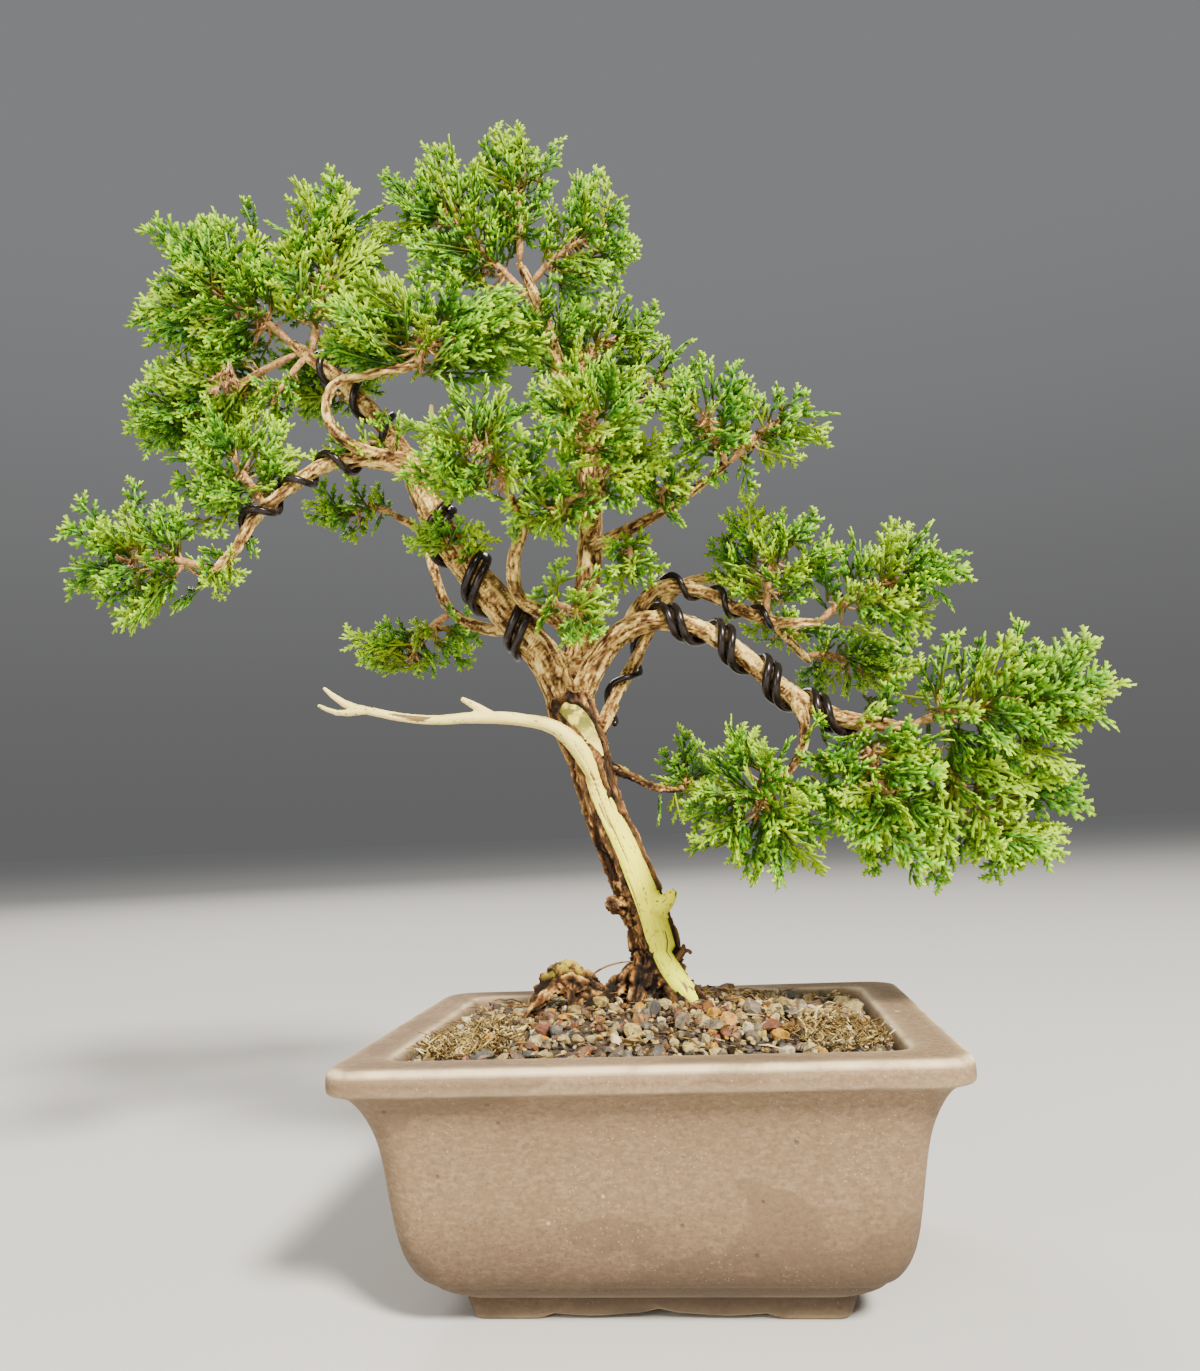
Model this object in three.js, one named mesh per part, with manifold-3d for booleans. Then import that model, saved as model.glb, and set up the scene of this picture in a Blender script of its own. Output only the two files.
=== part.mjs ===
// A sawara cypress bonsai in its unglazed clay pot, in millimetres with Z up.
// X runs to the right of the pot's long front, Y to its back. The pot is modelled about x = y = 0
// and the whole group is moved at the end so that its bounding box stands centred on the origin.

import * as THREE from 'three';
import * as BufferGeometryUtils from 'three/addons/utils/BufferGeometryUtils.js';
import Module from 'manifold-3d';

const wasm = await Module();
wasm.setup();
const { Manifold, Mesh: SolidMesh } = wasm;

const GAP = 0.35;
const GOLDEN_ANGLE = Math.PI * (3 - Math.sqrt(5));

// Pot: half width and half depth share one profile, the depth being narrower all the way up.
const RIM_HALF_WIDTH = 80;
const RIM_HALF_DEPTH = 70;
const RIM_TOP = 69;
const POT_BOTTOM = 6;
const FLOOR_TOP = 12.5;
const CORNER_STEPS = 4;
const FOOT = { halfWidth: 49, halfDepth: 40.5, wall: 7, corner: 3.5, height: 6.4, flare: 1.04 };
const FOOT_NOTCH = { share: 0.62, rise: 1.5, peak: 2.6 };
const DRAIN_RADIUS = 6;
const DRAIN_X = 24;
const SCREEN = { side: 18, thick: 1, hole: 5 };

// Half width, height and corner radius from the middle of the underside round to the floor.
const POT_PROFILE = [
  [0, POT_BOTTOM, 8], [53, POT_BOTTOM, 8], [57.4, 8.8, 8.5], [59.4, 10.8, 9], [61.6, 12.4, 9], [65, 18, 9.5],
  [67.1, 27.8, 9.5], [69, 42, 9.5], [71.3, 51.9, 9.5], [74.5, 58.7, 9], [78.6, 62.4, 8.5],
  [RIM_HALF_WIDTH, 64.2, 8.5], [RIM_HALF_WIDTH, 67.4, 8.5], [78.4, RIM_TOP, 8.5], [67.4, RIM_TOP, 6.5],
  [65.4, 67.4, 6], [63.8, 50, 6], [60, 27, 6], [52, FLOOR_TOP, 6], [0, FLOOR_TOP, 6],
];

// Soil: it fills the pot and mounds up to the trunk.
const SOIL_PROFILE = [
  [0, FLOOR_TOP + GAP, 5.6], [51.4, FLOOR_TOP + GAP, 5.6], [59.5, 27.1, 5.6], [63.3, 50, 5.6],
  [64.8, 67.4, 5.6], [64.8, 90, 5.6], [0, 90, 5.6],
];
const SOIL_EDGE = 66.8;
const SOIL_MOUND = 8;
const SOIL_CELLS = [15, 13];
const SOIL_SPREAD = 0.84;
const MOUND_REACH = [64, 55];
const GRIT_RELIEF = 2.2;
const GRIT_JITTER = 1.6;

// Wood: each limb is [x, y, z, radius] along its middle, from the limb that carries it outward.
const LIMBS = {
  trunk: {
    sides: 9, steps: 12,
    route: [[0, 3, 56, 8.5], [0, 3, 76, 9], [0.5, 3, 89, 7.6], [-2.4, 3, 101, 7.3], [-6.8, 2, 114, 6.8],
      [-13, 1, 131, 6.4], [-17, 0, 148, 6.6], [-21, 0, 160, 7.6], [-23, 0, 171, 7.2]],
  },
  left: {
    sides: 7, steps: 11,
    route: [[-21, 0, 160, 6.2], [-29, -2, 179, 5.6], [-46, -5, 201, 5.1], [-60, -7, 221, 4.8],
      [-69, -8, 244, 4.6]],
  },
  leftBranch: {
    sides: 6, steps: 10,
    route: [[-67, -8, 240, 3.4], [-77, -12, 244, 2.8], [-90, -15, 244, 2.4], [-98, -17, 241, 2.2],
      [-106, -20, 234, 2], [-116, -22, 225, 1.9], [-120, -24, 216, 1.8], [-127, -26, 208, 1.5]],
  },
  upperLeft: {
    sides: 6, steps: 6,
    route: [[-69, -8, 240, 4], [-76, -6, 254, 3], [-93, -2, 275, 2.5], [-103, 0, 284, 2.2],
      [-112, 0, 292, 1.8]],
  },
  liveLoop: {
    sides: 5, steps: 8,
    route: [[-69, -9, 244, 2.4], [-86, -19, 248, 1.9], [-92, -22, 256, 1.7], [-90, -22, 266, 1.6],
      [-79, -21, 269, 1.5], [-63, -20, 271, 1.3]],
  },
  leader: {
    sides: 7, steps: 11,
    route: [[-22, 0, 165, 6], [-19, 3, 184, 4.6], [-15, 7, 214, 4], [-15, 8, 245, 3.4],
      [-21, 8, 271, 2.6], [-28, 6, 298, 2], [-34, 3, 314, 1.4]],
  },
  right: {
    sides: 7, steps: 13,
    route: [[-22, 0, 164, 5], [-13, -2, 178, 3.9], [-5, -4, 186, 3.5], [5, -5, 189, 3.2], [15, -6, 187, 3],
      [26, -8, 181, 2.9], [45, -12, 163, 2.8], [56, -14, 156, 2.6], [66, -16, 153, 2.2], [78, -18, 151, 1.7]],
  },
  rightFront: {
    sides: 4, steps: 3,
    route: [[46, -13, 162, 2.2], [48, -20, 153, 1.8], [46, -25, 145, 1.5], [41, -28, 138, 1.2]],
  },
  upperRight: {
    sides: 5, steps: 8,
    route: [[-4, -3, 184, 3], [2, 0, 196, 2.5], [9, 2, 201, 2.2], [20, 3, 199, 2.1], [31, 4, 193, 1.9],
      [43, 5, 188, 1.7], [57, 6, 187, 1.4]],
  },
  backRight: {
    sides: 4, steps: 9,
    route: [[-17, 3, 150, 2.6], [-8, 10, 169, 2], [-1, 14, 182, 2], [5, 18, 194, 2], [12, 22, 204, 1.9],
      [23, 26, 208, 1.8], [36, 32, 203, 1.7], [46, 38, 191, 1.6], [56, 43, 180, 1.3]],
  },
  lowRight: {
    sides: 4, steps: 4,
    route: [[-15, 3, 147, 2], [-5, 10, 142, 1.6], [3, 15, 138, 1.3], [11, 19, 137, 1.1]],
  },
  lowLeft: {
    sides: 4, steps: 8,
    route: [[-38, -3, 190, 2.6], [-50, 8, 192, 2], [-63, 14, 200, 1.8], [-69, 18, 213, 1.6],
      [-74, 21, 229, 1.4], [-86, 24, 238, 1.2]],
  },
  frontMid: {
    sides: 4, steps: 4,
    route: [[-15, 7, 222, 2.8], [-11, -10, 224, 2], [-8, -24, 225, 1.6], [-7, -36, 229, 1.2]],
  },
  frontRight: {
    sides: 4, steps: 5,
    route: [[-15, 6, 216, 2.6], [-2, -8, 217, 1.9], [9, -18, 219, 1.7], [19, -25, 223, 1.5],
      [31, -25, 231, 1.1]],
  },
  frontLeft: {
    sides: 5, steps: 7,
    route: [[-19, 3, 187, 2.8], [-27, -9, 192, 2.3], [-35, -15, 197, 2.2], [-35, -20, 209, 2],
      [-31, -24, 216, 1.7], [-34, -32, 224, 1.2]],
  },
  backHigh: {
    sides: 4, steps: 3,
    route: [[-23, 8, 278, 2.2], [-26, 24, 288, 1.7], [-28, 38, 298, 1.2]],
  },
  backMid: {
    sides: 4, steps: 3,
    route: [[-15, 8, 236, 2.6], [-13, 26, 243, 2], [-12, 40, 252, 1.4]],
  },
  backLeft: {
    sides: 4, steps: 3,
    route: [[-88, -3, 269, 2.4], [-98, 12, 277, 1.8], [-105, 28, 287, 1.3]],
  },
  rootLeft: {
    sides: 5, steps: 3,
    route: [[-2, 2, 84, 5], [-10, 0, 77, 4.4], [-17, -3, 72, 3.4], [-25, -6, 66, 1.6]],
  },
  rootRight: {
    sides: 5, steps: 3,
    route: [[1, 1, 86, 4.8], [8, -4, 78, 4], [15, -8, 73, 3], [23, -12, 66, 1.4]],
  },
  rootBack: {
    sides: 5, steps: 3,
    route: [[1, 5, 84, 5], [5, 14, 76, 3.6], [9, 24, 67, 1.6]],
  },
  oldRoot: {
    sides: 5, steps: 7,
    route: [[-9, 1, 72, 3.4], [-16.6, 0, 75.6, 3.6], [-23.5, -2, 81.5, 3.8], [-29, -5, 83, 3.4],
      [-33, -8, 79, 2.8], [-35, -10, 68, 1.8]],
  },
};
const KNOB = { at: [-11, -3, 103], radius: 3.2 };

// Deadwood: the stripped branch on the left runs into the bare strip down the front of the trunk.
const DEADWOOD = {
  jin: {
    sides: 6, steps: 10,
    route: [[-15, -5, 141, 2.4], [-19, -7, 150, 2.9], [-26, -9, 157, 2.3], [-37, -11, 160, 2],
      [-50, -12, 161, 1.8], [-64, -12, 161, 1.4], [-80, -11, 164, 1.3], [-92, -10, 168, 1.1],
      [-98, -11, 173, 0.7]],
  },
  jinFork: {
    sides: 5, steps: 3,
    route: [[-83, -11, 165, 1.1], [-94, -10, 165, 0.9], [-101, -8, 168, 0.6]],
  },
  jinStub: {
    sides: 5, steps: 2,
    route: [[-43, -11, 160, 1.5], [-49, -12, 164, 1.3], [-54, -13, 167, 0.9]],
  },
  strip: {
    sides: 7, steps: 10,
    route: [[-17, -4, 150, 2.4], [-15.6, -3.8, 142, 2.8], [-12.2, -3.2, 132, 3.2], [-7.4, -2.8, 122, 3.8],
      [-2.8, -2.4, 110, 4.2], [1, -2.4, 98, 4.4], [3.2, -2.8, 90, 4.4], [8, -4.6, 80, 3.8],
      [12.5, -7.4, 73, 2.2]],
  },
  upperPatch: {
    sides: 6, steps: 3,
    route: [[-22.6, -4, 161, 1.8], [-18.4, -3.8, 154.6, 2.6], [-13.6, -2.8, 147.6, 1.6]],
  },
  stub: {
    sides: 6, steps: 2,
    route: [[2, -2, 101, 3], [6, -4, 104.5, 2.2], [7.6, -4.6, 107, 1.2]],
  },
};
const GROOVE_SHIFT = 3;

// Training wire: the limb it winds, where along it, how many turns, where round the limb it starts, its
// radius, and how many strands lie side by side, if not one. They start where they clear the side limbs.
const WIRES = {
  wire_left_limb: { limb: 'left', from: 0.272, to: 0.812, turns: 2.6, start: 0.733, radius: 1.4, strands: 2 },
  wire_left_branch: { limb: 'leftBranch', from: 0.196, to: 0.816, turns: 3.4, start: 0.267, radius: 1.2 },
  wire_upper_left: { limb: 'upperLeft', from: 0.112, to: 0.892, turns: 3, start: 0.458, radius: 1.2 },
  wire_right_limb: { limb: 'right', from: 0.296, to: 0.866, turns: 4, start: 0.533, radius: 1.3, strands: 2 },
  wire_upper_right: { limb: 'upperRight', from: 0.22, to: 0.8, turns: 3, start: 0.217, radius: 1 },
  wire_back_right: { limb: 'backRight', from: 0.092, to: 0.612, turns: 3.4, start: 0.225, radius: 1 },
};
const WIRE_SIDES = 5;
const WIRE_STEPS_PER_TURN = 6;
const WIRE_FRAMES = 200;
const STRAND_SLACK = 1;
const WIRE_CLEARANCE = 0.75;

// Foliage: the twig's root on its branch, the middle of the spray and its half sizes.
const PADS = {
  crown_left: { root: [-29, 6, 300], at: [-57, 0, 331], size: [20, 13, 21], fronds: 7 },
  crown_top: { root: [-34, 3, 313.5], at: [-34, 0, 340], size: [11, 11, 21], fronds: 4 },
  crown_right: { root: [-31, 5, 307], at: [-11, 5, 322], size: [16, 14, 19], fronds: 6 },
  upper_left_outer: { root: [-111, 0, 291], at: [-136, 0, 311], size: [22, 17, 25], fronds: 8 },
  upper_left_inner: { root: [-105, 0, 286], at: [-98, 2, 320], size: [20, 17, 25], fronds: 7 },
  left_under: { root: [-109, 0, 288], at: [-150, 12, 274], size: [23, 16, 17], fronds: 6 },
  left_hanging: { root: [-106, 0, 287], at: [-116, -7, 268], size: [9, 8, 8], fronds: 2 },
  left_drop: { root: [-112, -21, 228], at: [-121, -22, 243], size: [18, 14, 17], fronds: 5 },
  left_fork: { root: [-74, -7, 250], at: [-88, -13, 249], size: [11, 9, 8], fronds: 3 },
  far_left: { root: [-126, -26, 209], at: [-152, -28, 213], size: [18.5, 16, 18.5], fronds: 7 },
  far_left_inner: { root: [-121, -24, 215], at: [-126, -27, 209], size: [8, 7, 9], fronds: 2 },
  upper_middle: { root: [-64, -20, 271], at: [-60, -18, 284], size: [32, 17, 16], fronds: 7 },
  upper_right_middle: { root: [-20, 8, 272], at: [-7, 15, 290], size: [18, 15, 15], fronds: 5 },
  right_shoulder: { root: [-15, 8, 252], at: [9, 22, 279], size: [16, 14, 11], fronds: 4 },
  front_left: { root: [-34, -31, 223], at: [-40, -43, 236], size: [20, 15, 16], fronds: 6 },
  front_middle: { root: [-7, -35, 229], at: [-7, -47, 242], size: [16, 16, 17], fronds: 6 },
  front_lower: { root: [-8, -24, 225], at: [-20, -36, 218], size: [13, 11, 9], fronds: 3 },
  front_right: { root: [30, -25, 230], at: [24, -34, 243], size: [15, 14, 15], fronds: 5 },
  right_tip: { root: [31, -25, 231], at: [45, -22, 243], size: [16, 12, 12], fronds: 4 },
  centre_right: { root: [9, -18, 219], at: [13, -28, 226], size: [11, 9, 8], fronds: 3 },
  left_collar: { root: [-50, -6, 206], at: [-57, -20, 217.5], size: [14, 8, 5], fronds: 3 },
  centre_drop: { root: [-29, -11, 193], at: [-17, -25, 190], size: [12, 8, 13], fronds: 4 },
  centre_side: { root: [-2, -8, 216.5], at: [0, -18, 205], size: [9, 8, 9], fronds: 3 },
  right_upper_inner: { root: [40, 5, 189], at: [43, 4, 209], size: [19, 17, 16], fronds: 7 },
  right_upper_outer: { root: [56, 6, 187], at: [79, 8, 200], size: [22, 17, 17], fronds: 7 },
  right_back: { root: [54, 42, 182], at: [71, 47, 180], size: [20, 16, 12], fronds: 4 },
  right_back_inner: { root: [46, 38, 191], at: [49, 41, 192], size: [13, 11, 8], fronds: 3 },
  right_low_inner: { root: [42, -28, 139], at: [33, -30, 131], size: [20, 15, 22], fronds: 7 },
  right_low_middle: { root: [65, -16, 153], at: [68, -28, 133], size: [17, 16, 20], fronds: 6 },
  right_low_outer: { root: [77, -18, 151], at: [106, -16, 157], size: [25, 18, 21], fronds: 8 },
  right_low_under: { root: [72, -17, 152], at: [99, -12, 125], size: [23, 17, 16], fronds: 6 },
  low_back_twig: { root: [10, 19, 137], at: [12, 24, 143], size: [10, 8, 12], fronds: 3 },
  left_low_back: { root: [-63, 14, 199], at: [-77, 20, 189], size: [22, 12, 9], fronds: 4 },
  left_back_small: { root: [-85, 24, 238], at: [-100, 26, 241], size: [16, 11, 10], fronds: 3 },
  back_high: { root: [-28, 37, 297], at: [-28, 50, 308], size: [20, 14, 16], fronds: 4 },
  back_middle: { root: [-12, 39, 251], at: [-10, 52, 260], size: [20, 14, 15], fronds: 4 },
  back_left: { root: [-104, 27, 286], at: [-112, 40, 297], size: [20, 14, 15], fronds: 4 },
};
const FROND = { thick: 0.7, stem: 0.6, fan: 1.1, notch: 0.6, droop: 0.0045, reach: 1.22, roll: 0.3 };
const FROND_GUARD = { thick: 0.8, grow: 1.04, overlap: 1, outsideWeight: 50 };
const PAD_BACK = -0.45;
const PAD_FRONT = 0.97;
const PAD_SAG = 0.6;
const SMALL_PAD = 23;
const TURN_TRIES = 30;
const TWIG = { rootRadius: 1.5, middleRadius: 1.25, endRadius: 1, bow: 1.5 };
const TWIG_TRIES = 32;

const FINISH = {
  clay: [0x8d7a6d, 0.85, 0],
  grit: [0x8a7a5c, 0.95, 0],
  bark: [0x7a5236, 0.9, 0],
  deadwood: [0xd9cb96, 0.8, 0],
  wire: [0x1d1614, 0.35, 0.6],
  foliage: [0x4f8f2e, 0.7, 0],
  screen: [0x20242a, 0.7, 0],
};

// A repeatable number from 0 to 1 for each count, so that the growth looks irregular but never changes.
function draw(count) {
  const wave = Math.sin(count * 12.9898) * 43758.5453;
  return wave - Math.floor(wave);
}

function toSolid(geometry) {
  const bare = geometry.index ? geometry.clone() : BufferGeometryUtils.mergeVertices(geometry);
  bare.deleteAttribute('normal');
  bare.deleteAttribute('uv');
  const merged = BufferGeometryUtils.mergeVertices(bare, 1e-4);
  return new Manifold(new SolidMesh({
    numProp: 3,
    vertProperties: new Float32Array(merged.attributes.position.array),
    triVerts: new Uint32Array(merged.index.array),
  }));
}

function toGeometry(solid) {
  const mesh = solid.getMesh();
  const geometry = new THREE.BufferGeometry();
  geometry.setAttribute('position', new THREE.BufferAttribute(new Float32Array(mesh.vertProperties), 3));
  geometry.setIndex(new THREE.BufferAttribute(new Uint32Array(mesh.triVerts), 1));
  geometry.computeVertexNormals();
  return geometry;
}

// Cuts can leave crumbs of a blade behind: the body is the largest piece.
function mainBody(solid) {
  const pieces = solid.decompose();
  return pieces.reduce((largest, piece) => (piece.volume() > largest.volume() ? piece : largest));
}

const group = new THREE.Group();
group.name = 'sawara_cypress_bonsai';

function addPart(name, solid, finish) {
  const [color, roughness, metalness] = FINISH[finish];
  const material = new THREE.MeshStandardMaterial({ color, roughness, metalness, flatShading: true });
  const mesh = new THREE.Mesh(toGeometry(solid), material);
  mesh.name = name;
  group.add(mesh);
  return mesh;
}

// A lathe whose rings are rounded rectangles: each ring keeps its own corner radius.
function roundedLathe(profile, narrower) {
  const columns = 4 * (CORNER_STEPS + 1);
  const points = profile.map(([halfWidth, height]) => new THREE.Vector2(halfWidth, height));
  const lathe = new THREE.LatheGeometry(points, columns);
  const position = lathe.attributes.position;
  for (let column = 0; column <= columns; column += 1) {
    const quarter = Math.floor((column % columns) / (CORNER_STEPS + 1));
    const step = column % (CORNER_STEPS + 1);
    const angle = (quarter + step / CORNER_STEPS) * (Math.PI / 2);
    const signX = quarter === 0 || quarter === 3 ? 1 : -1;
    const signY = quarter < 2 ? 1 : -1;
    profile.forEach(([halfWidth, height, corner], row) => {
      const onAxis = halfWidth === 0;
      const x = onAxis ? 0 : signX * (halfWidth - corner) + corner * Math.cos(angle);
      const y = onAxis ? 0 : signY * (halfWidth - narrower - corner) + corner * Math.sin(angle);
      position.setXYZ(column * profile.length + row, x, y, height);
    });
  }
  const solid = toSolid(lathe);
  return solid.volume() > 0 ? solid : toSolid(flipped(lathe));
}

function flipped(geometry) {
  const turned = geometry.clone();
  const index = turned.index.array;
  for (let corner = 0; corner < index.length; corner += 3) {
    [index[corner], index[corner + 1]] = [index[corner + 1], index[corner]];
  }
  return turned;
}

function roundedRectangle(halfWidth, halfDepth, corner) {
  const shape = new THREE.Shape();
  shape.moveTo(halfWidth - corner, -halfDepth);
  shape.absarc(halfWidth - corner, -halfDepth + corner, corner, -Math.PI / 2, 0);
  shape.absarc(halfWidth - corner, halfDepth - corner, corner, 0, Math.PI / 2);
  shape.absarc(-halfWidth + corner, halfDepth - corner, corner, Math.PI / 2, Math.PI);
  shape.absarc(-halfWidth + corner, -halfDepth + corner, corner, Math.PI, 1.5 * Math.PI);
  return shape;
}

// The ogee under each side of the foot: a shallow sag either side of a pointed middle.
function footNotch(halfLength, reach) {
  const half = halfLength * FOOT_NOTCH.share;
  const outline = new THREE.Shape();
  outline.moveTo(-half, -1);
  outline.lineTo(-half + 2, FOOT_NOTCH.rise);
  outline.quadraticCurveTo(-half * 0.45, FOOT_NOTCH.rise * 0.55, -half * 0.16, FOOT_NOTCH.rise);
  outline.lineTo(0, FOOT_NOTCH.peak);
  outline.lineTo(half * 0.16, FOOT_NOTCH.rise);
  outline.quadraticCurveTo(half * 0.45, FOOT_NOTCH.rise * 0.55, half - 2, FOOT_NOTCH.rise);
  outline.lineTo(half, -1);
  const options = { depth: 2 * reach, bevelEnabled: false, curveSegments: 3 };
  const cutter = new THREE.ExtrudeGeometry(outline, options);
  cutter.translate(0, 0, -reach);
  cutter.rotateX(Math.PI / 2);
  return cutter;
}

function makePot() {
  const bowl = roundedLathe(POT_PROFILE, RIM_HALF_WIDTH - RIM_HALF_DEPTH);
  const outline = roundedRectangle(FOOT.halfWidth, FOOT.halfDepth, FOOT.corner);
  const { wall, height } = FOOT;
  outline.holes.push(roundedRectangle(FOOT.halfWidth - wall, FOOT.halfDepth - wall, FOOT.corner / 2));
  const ring = new THREE.ExtrudeGeometry(outline, { depth: height, bevelEnabled: false, curveSegments: 3 });
  const frontNotch = footNotch(FOOT.halfWidth, RIM_HALF_DEPTH);
  const sideNotch = footNotch(FOOT.halfDepth, RIM_HALF_WIDTH);
  sideNotch.rotateZ(Math.PI / 2);
  const position = ring.attributes.position;
  for (let corner = 0; corner < position.count; corner += 1) {
    const flare = THREE.MathUtils.lerp(1, FOOT.flare, position.getZ(corner) / height);
    position.setX(corner, position.getX(corner) * flare);
    position.setY(corner, position.getY(corner) * flare);
  }
  const foot = toSolid(ring).subtract(toSolid(frontNotch)).subtract(toSolid(sideNotch));
  let pot = bowl.add(foot);
  for (const side of [-1, 1]) {
    const drain = new THREE.CylinderGeometry(DRAIN_RADIUS, DRAIN_RADIUS, 2 * FLOOR_TOP, 10);
    drain.rotateX(Math.PI / 2);
    drain.translate(side * DRAIN_X, 0, POT_BOTTOM);
    pot = pot.subtract(toSolid(drain));
  }
  return pot;
}

function makeScreen(side) {
  const plate = new THREE.BoxGeometry(SCREEN.side, SCREEN.side, SCREEN.thick);
  const offset = SCREEN.hole / 2 + 0.6;
  let screen = toSolid(plate);
  for (const [x, y] of [[-1, -1], [1, -1], [1, 1], [-1, 1]]) {
    const opening = new THREE.BoxGeometry(SCREEN.hole, SCREEN.hole, 2 * SCREEN.thick);
    opening.translate(x * offset, y * offset, 0);
    screen = screen.subtract(toSolid(opening));
  }
  return screen.translate([side * DRAIN_X, 0, FLOOR_TOP + GAP + SCREEN.thick / 2]);
}

function screenRecess(side) {
  const half = SCREEN.side / 2 + GAP;
  const recess = new THREE.BoxGeometry(2 * half, 2 * half, 2 * (SCREEN.thick + 2 * GAP));
  recess.translate(side * DRAIN_X, 0, FLOOR_TOP);
  return toSolid(recess);
}

function limbCurve(route) {
  return new THREE.CatmullRomCurve3(route.map(([x, y, z]) => new THREE.Vector3(x, y, z)));
}

// A cylinder bent along a limb's middle line, with the limb's own radius at each station.
function limbSolid({ route, sides, steps }, swell = 0) {
  const middle = limbCurve(route);
  const frames = middle.computeFrenetFrames(steps);
  const tube = new THREE.CylinderGeometry(1, 1, 1, sides, steps);
  const position = tube.attributes.position;
  for (let corner = 0; corner < position.count; corner += 1) {
    const station = Math.round((position.getY(corner) + 0.5) * steps);
    const along = station / steps;
    const point = middle.getPointAt(along);
    if (station === 0) point.addScaledVector(frames.tangents[0], -swell);
    if (station === steps) point.addScaledVector(frames.tangents[steps], swell);
    const radius = limbRadius(route, middle, along) + swell;
    point.addScaledVector(frames.normals[station], position.getX(corner) * radius);
    point.addScaledVector(frames.binormals[station], -position.getZ(corner) * radius);
    position.setXYZ(corner, point.x, point.y, point.z);
  }
  const solid = toSolid(tube);
  return solid.volume() > 0 ? solid : toSolid(flipped(tube));
}

// The radius between two route points changes evenly with the distance along the limb.
function limbRadius(route, middle, along) {
  const place = middle.getUtoTmapping(along) * (route.length - 1);
  const before = Math.min(Math.floor(place), route.length - 2);
  return THREE.MathUtils.lerp(route[before][3], route[before + 1][3], place - before);
}

function limbsSolid(limbs, swell = 0) {
  return Manifold.union(Object.values(limbs).map((limb) => limbSolid(limb, swell)));
}

function ballSolid({ at, radius }, swell = 0) {
  const ball = new THREE.IcosahedronGeometry(radius + swell, 0);
  ball.translate(...at);
  return toSolid(ball);
}

// The bare strip lies in a groove that is open to the front, with the bark's edges either side.
function deadwoodCutter() {
  const { strip } = DEADWOOD;
  const route = strip.route.map(([x, y, z, radius]) => [x, y - GROOVE_SHIFT, z, radius]);
  const opening = { ...strip, route };
  return limbsSolid(DEADWOOD, GAP).add(limbSolid(opening, GAP));
}

function windingSolid({ limb, from, to, turns, start, radius }) {
  const { route } = LIMBS[limb];
  const middle = limbCurve(route);
  const steps = Math.round(turns * WIRE_STEPS_PER_TURN);
  const frames = middle.computeFrenetFrames(WIRE_FRAMES);
  const points = [];
  for (let step = 0; step <= steps; step += 1) {
    const along = THREE.MathUtils.lerp(from, to, step / steps);
    const station = Math.round(along * WIRE_FRAMES);
    const angle = 2 * Math.PI * (start + (turns * step) / steps);
    const reach = limbRadius(route, middle, along) + radius + WIRE_CLEARANCE;
    const point = middle.getPointAt(along);
    point.addScaledVector(frames.normals[station], Math.cos(angle) * reach);
    point.addScaledVector(frames.binormals[station], Math.sin(angle) * reach);
    points.push(point);
  }
  const section = new THREE.Shape();
  for (let side = 0; side < WIRE_SIDES; side += 1) {
    const angle = (side / WIRE_SIDES) * 2 * Math.PI;
    const corner = [radius * Math.cos(angle), radius * Math.sin(angle)];
    if (side === 0) section.moveTo(...corner);
    else section.lineTo(...corner);
  }
  const extrudePath = new THREE.CatmullRomCurve3(points);
  return toSolid(new THREE.ExtrudeGeometry(section, { steps, extrudePath, bevelEnabled: false }));
}

// A wire's strands lie side by side, and are shaved where they would press into the wood.
function windingStrands(winding, woodCutter) {
  const apart = (2 * winding.radius + GAP + STRAND_SLACK) / limbCurve(LIMBS[winding.limb].route).getLength();
  const strands = [];
  for (let strand = 0; strand < (winding.strands ?? 1); strand += 1) {
    const from = winding.from + strand * apart;
    const to = winding.to + strand * apart;
    strands.push(mainBody(windingSolid({ ...winding, from, to }).subtract(woodCutter)));
  }
  return strands;
}

// The mound rises from the pot's wall to the trunk, and its grit shows as facets.
function makeSoil(woodCutter, screens) {
  const inside = roundedLathe(SOIL_PROFILE, RIM_HALF_WIDTH - RIM_HALF_DEPTH);
  const width = 2 * RIM_HALF_WIDTH;
  const depth = 2 * RIM_HALF_DEPTH;
  const [across, back] = SOIL_CELLS;
  const block = new THREE.BoxGeometry(width, depth, 1, across, back, 1);
  const position = block.attributes.position;
  for (let corner = 0; corner < position.count; corner += 1) {
    const column = Math.round((position.getX(corner) / width + 0.5) * across);
    const row = Math.round((position.getY(corner) / depth + 0.5) * back);
    const place = column * 31 + row * 57;
    const x = position.getX(corner) * SOIL_SPREAD + GRIT_JITTER * (draw(place + 7) - 0.5);
    const y = position.getY(corner) * SOIL_SPREAD + GRIT_JITTER * (draw(place + 13) - 0.5);
    const far = Math.min(1, Math.hypot(x / MOUND_REACH[0], y / MOUND_REACH[1]));
    const mound = SOIL_EDGE + SOIL_MOUND * (1 - far * far) ** 1.2;
    const grit = GRIT_RELIEF * (draw(place) - 0.5);
    position.setXYZ(corner, x, y, position.getZ(corner) > 0 ? mound + grit : 0);
  }
  let soil = toSolid(block).intersect(inside).subtract(woodCutter);
  for (const screen of screens) soil = soil.subtract(screen);
  return mainBody(soil);
}

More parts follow.
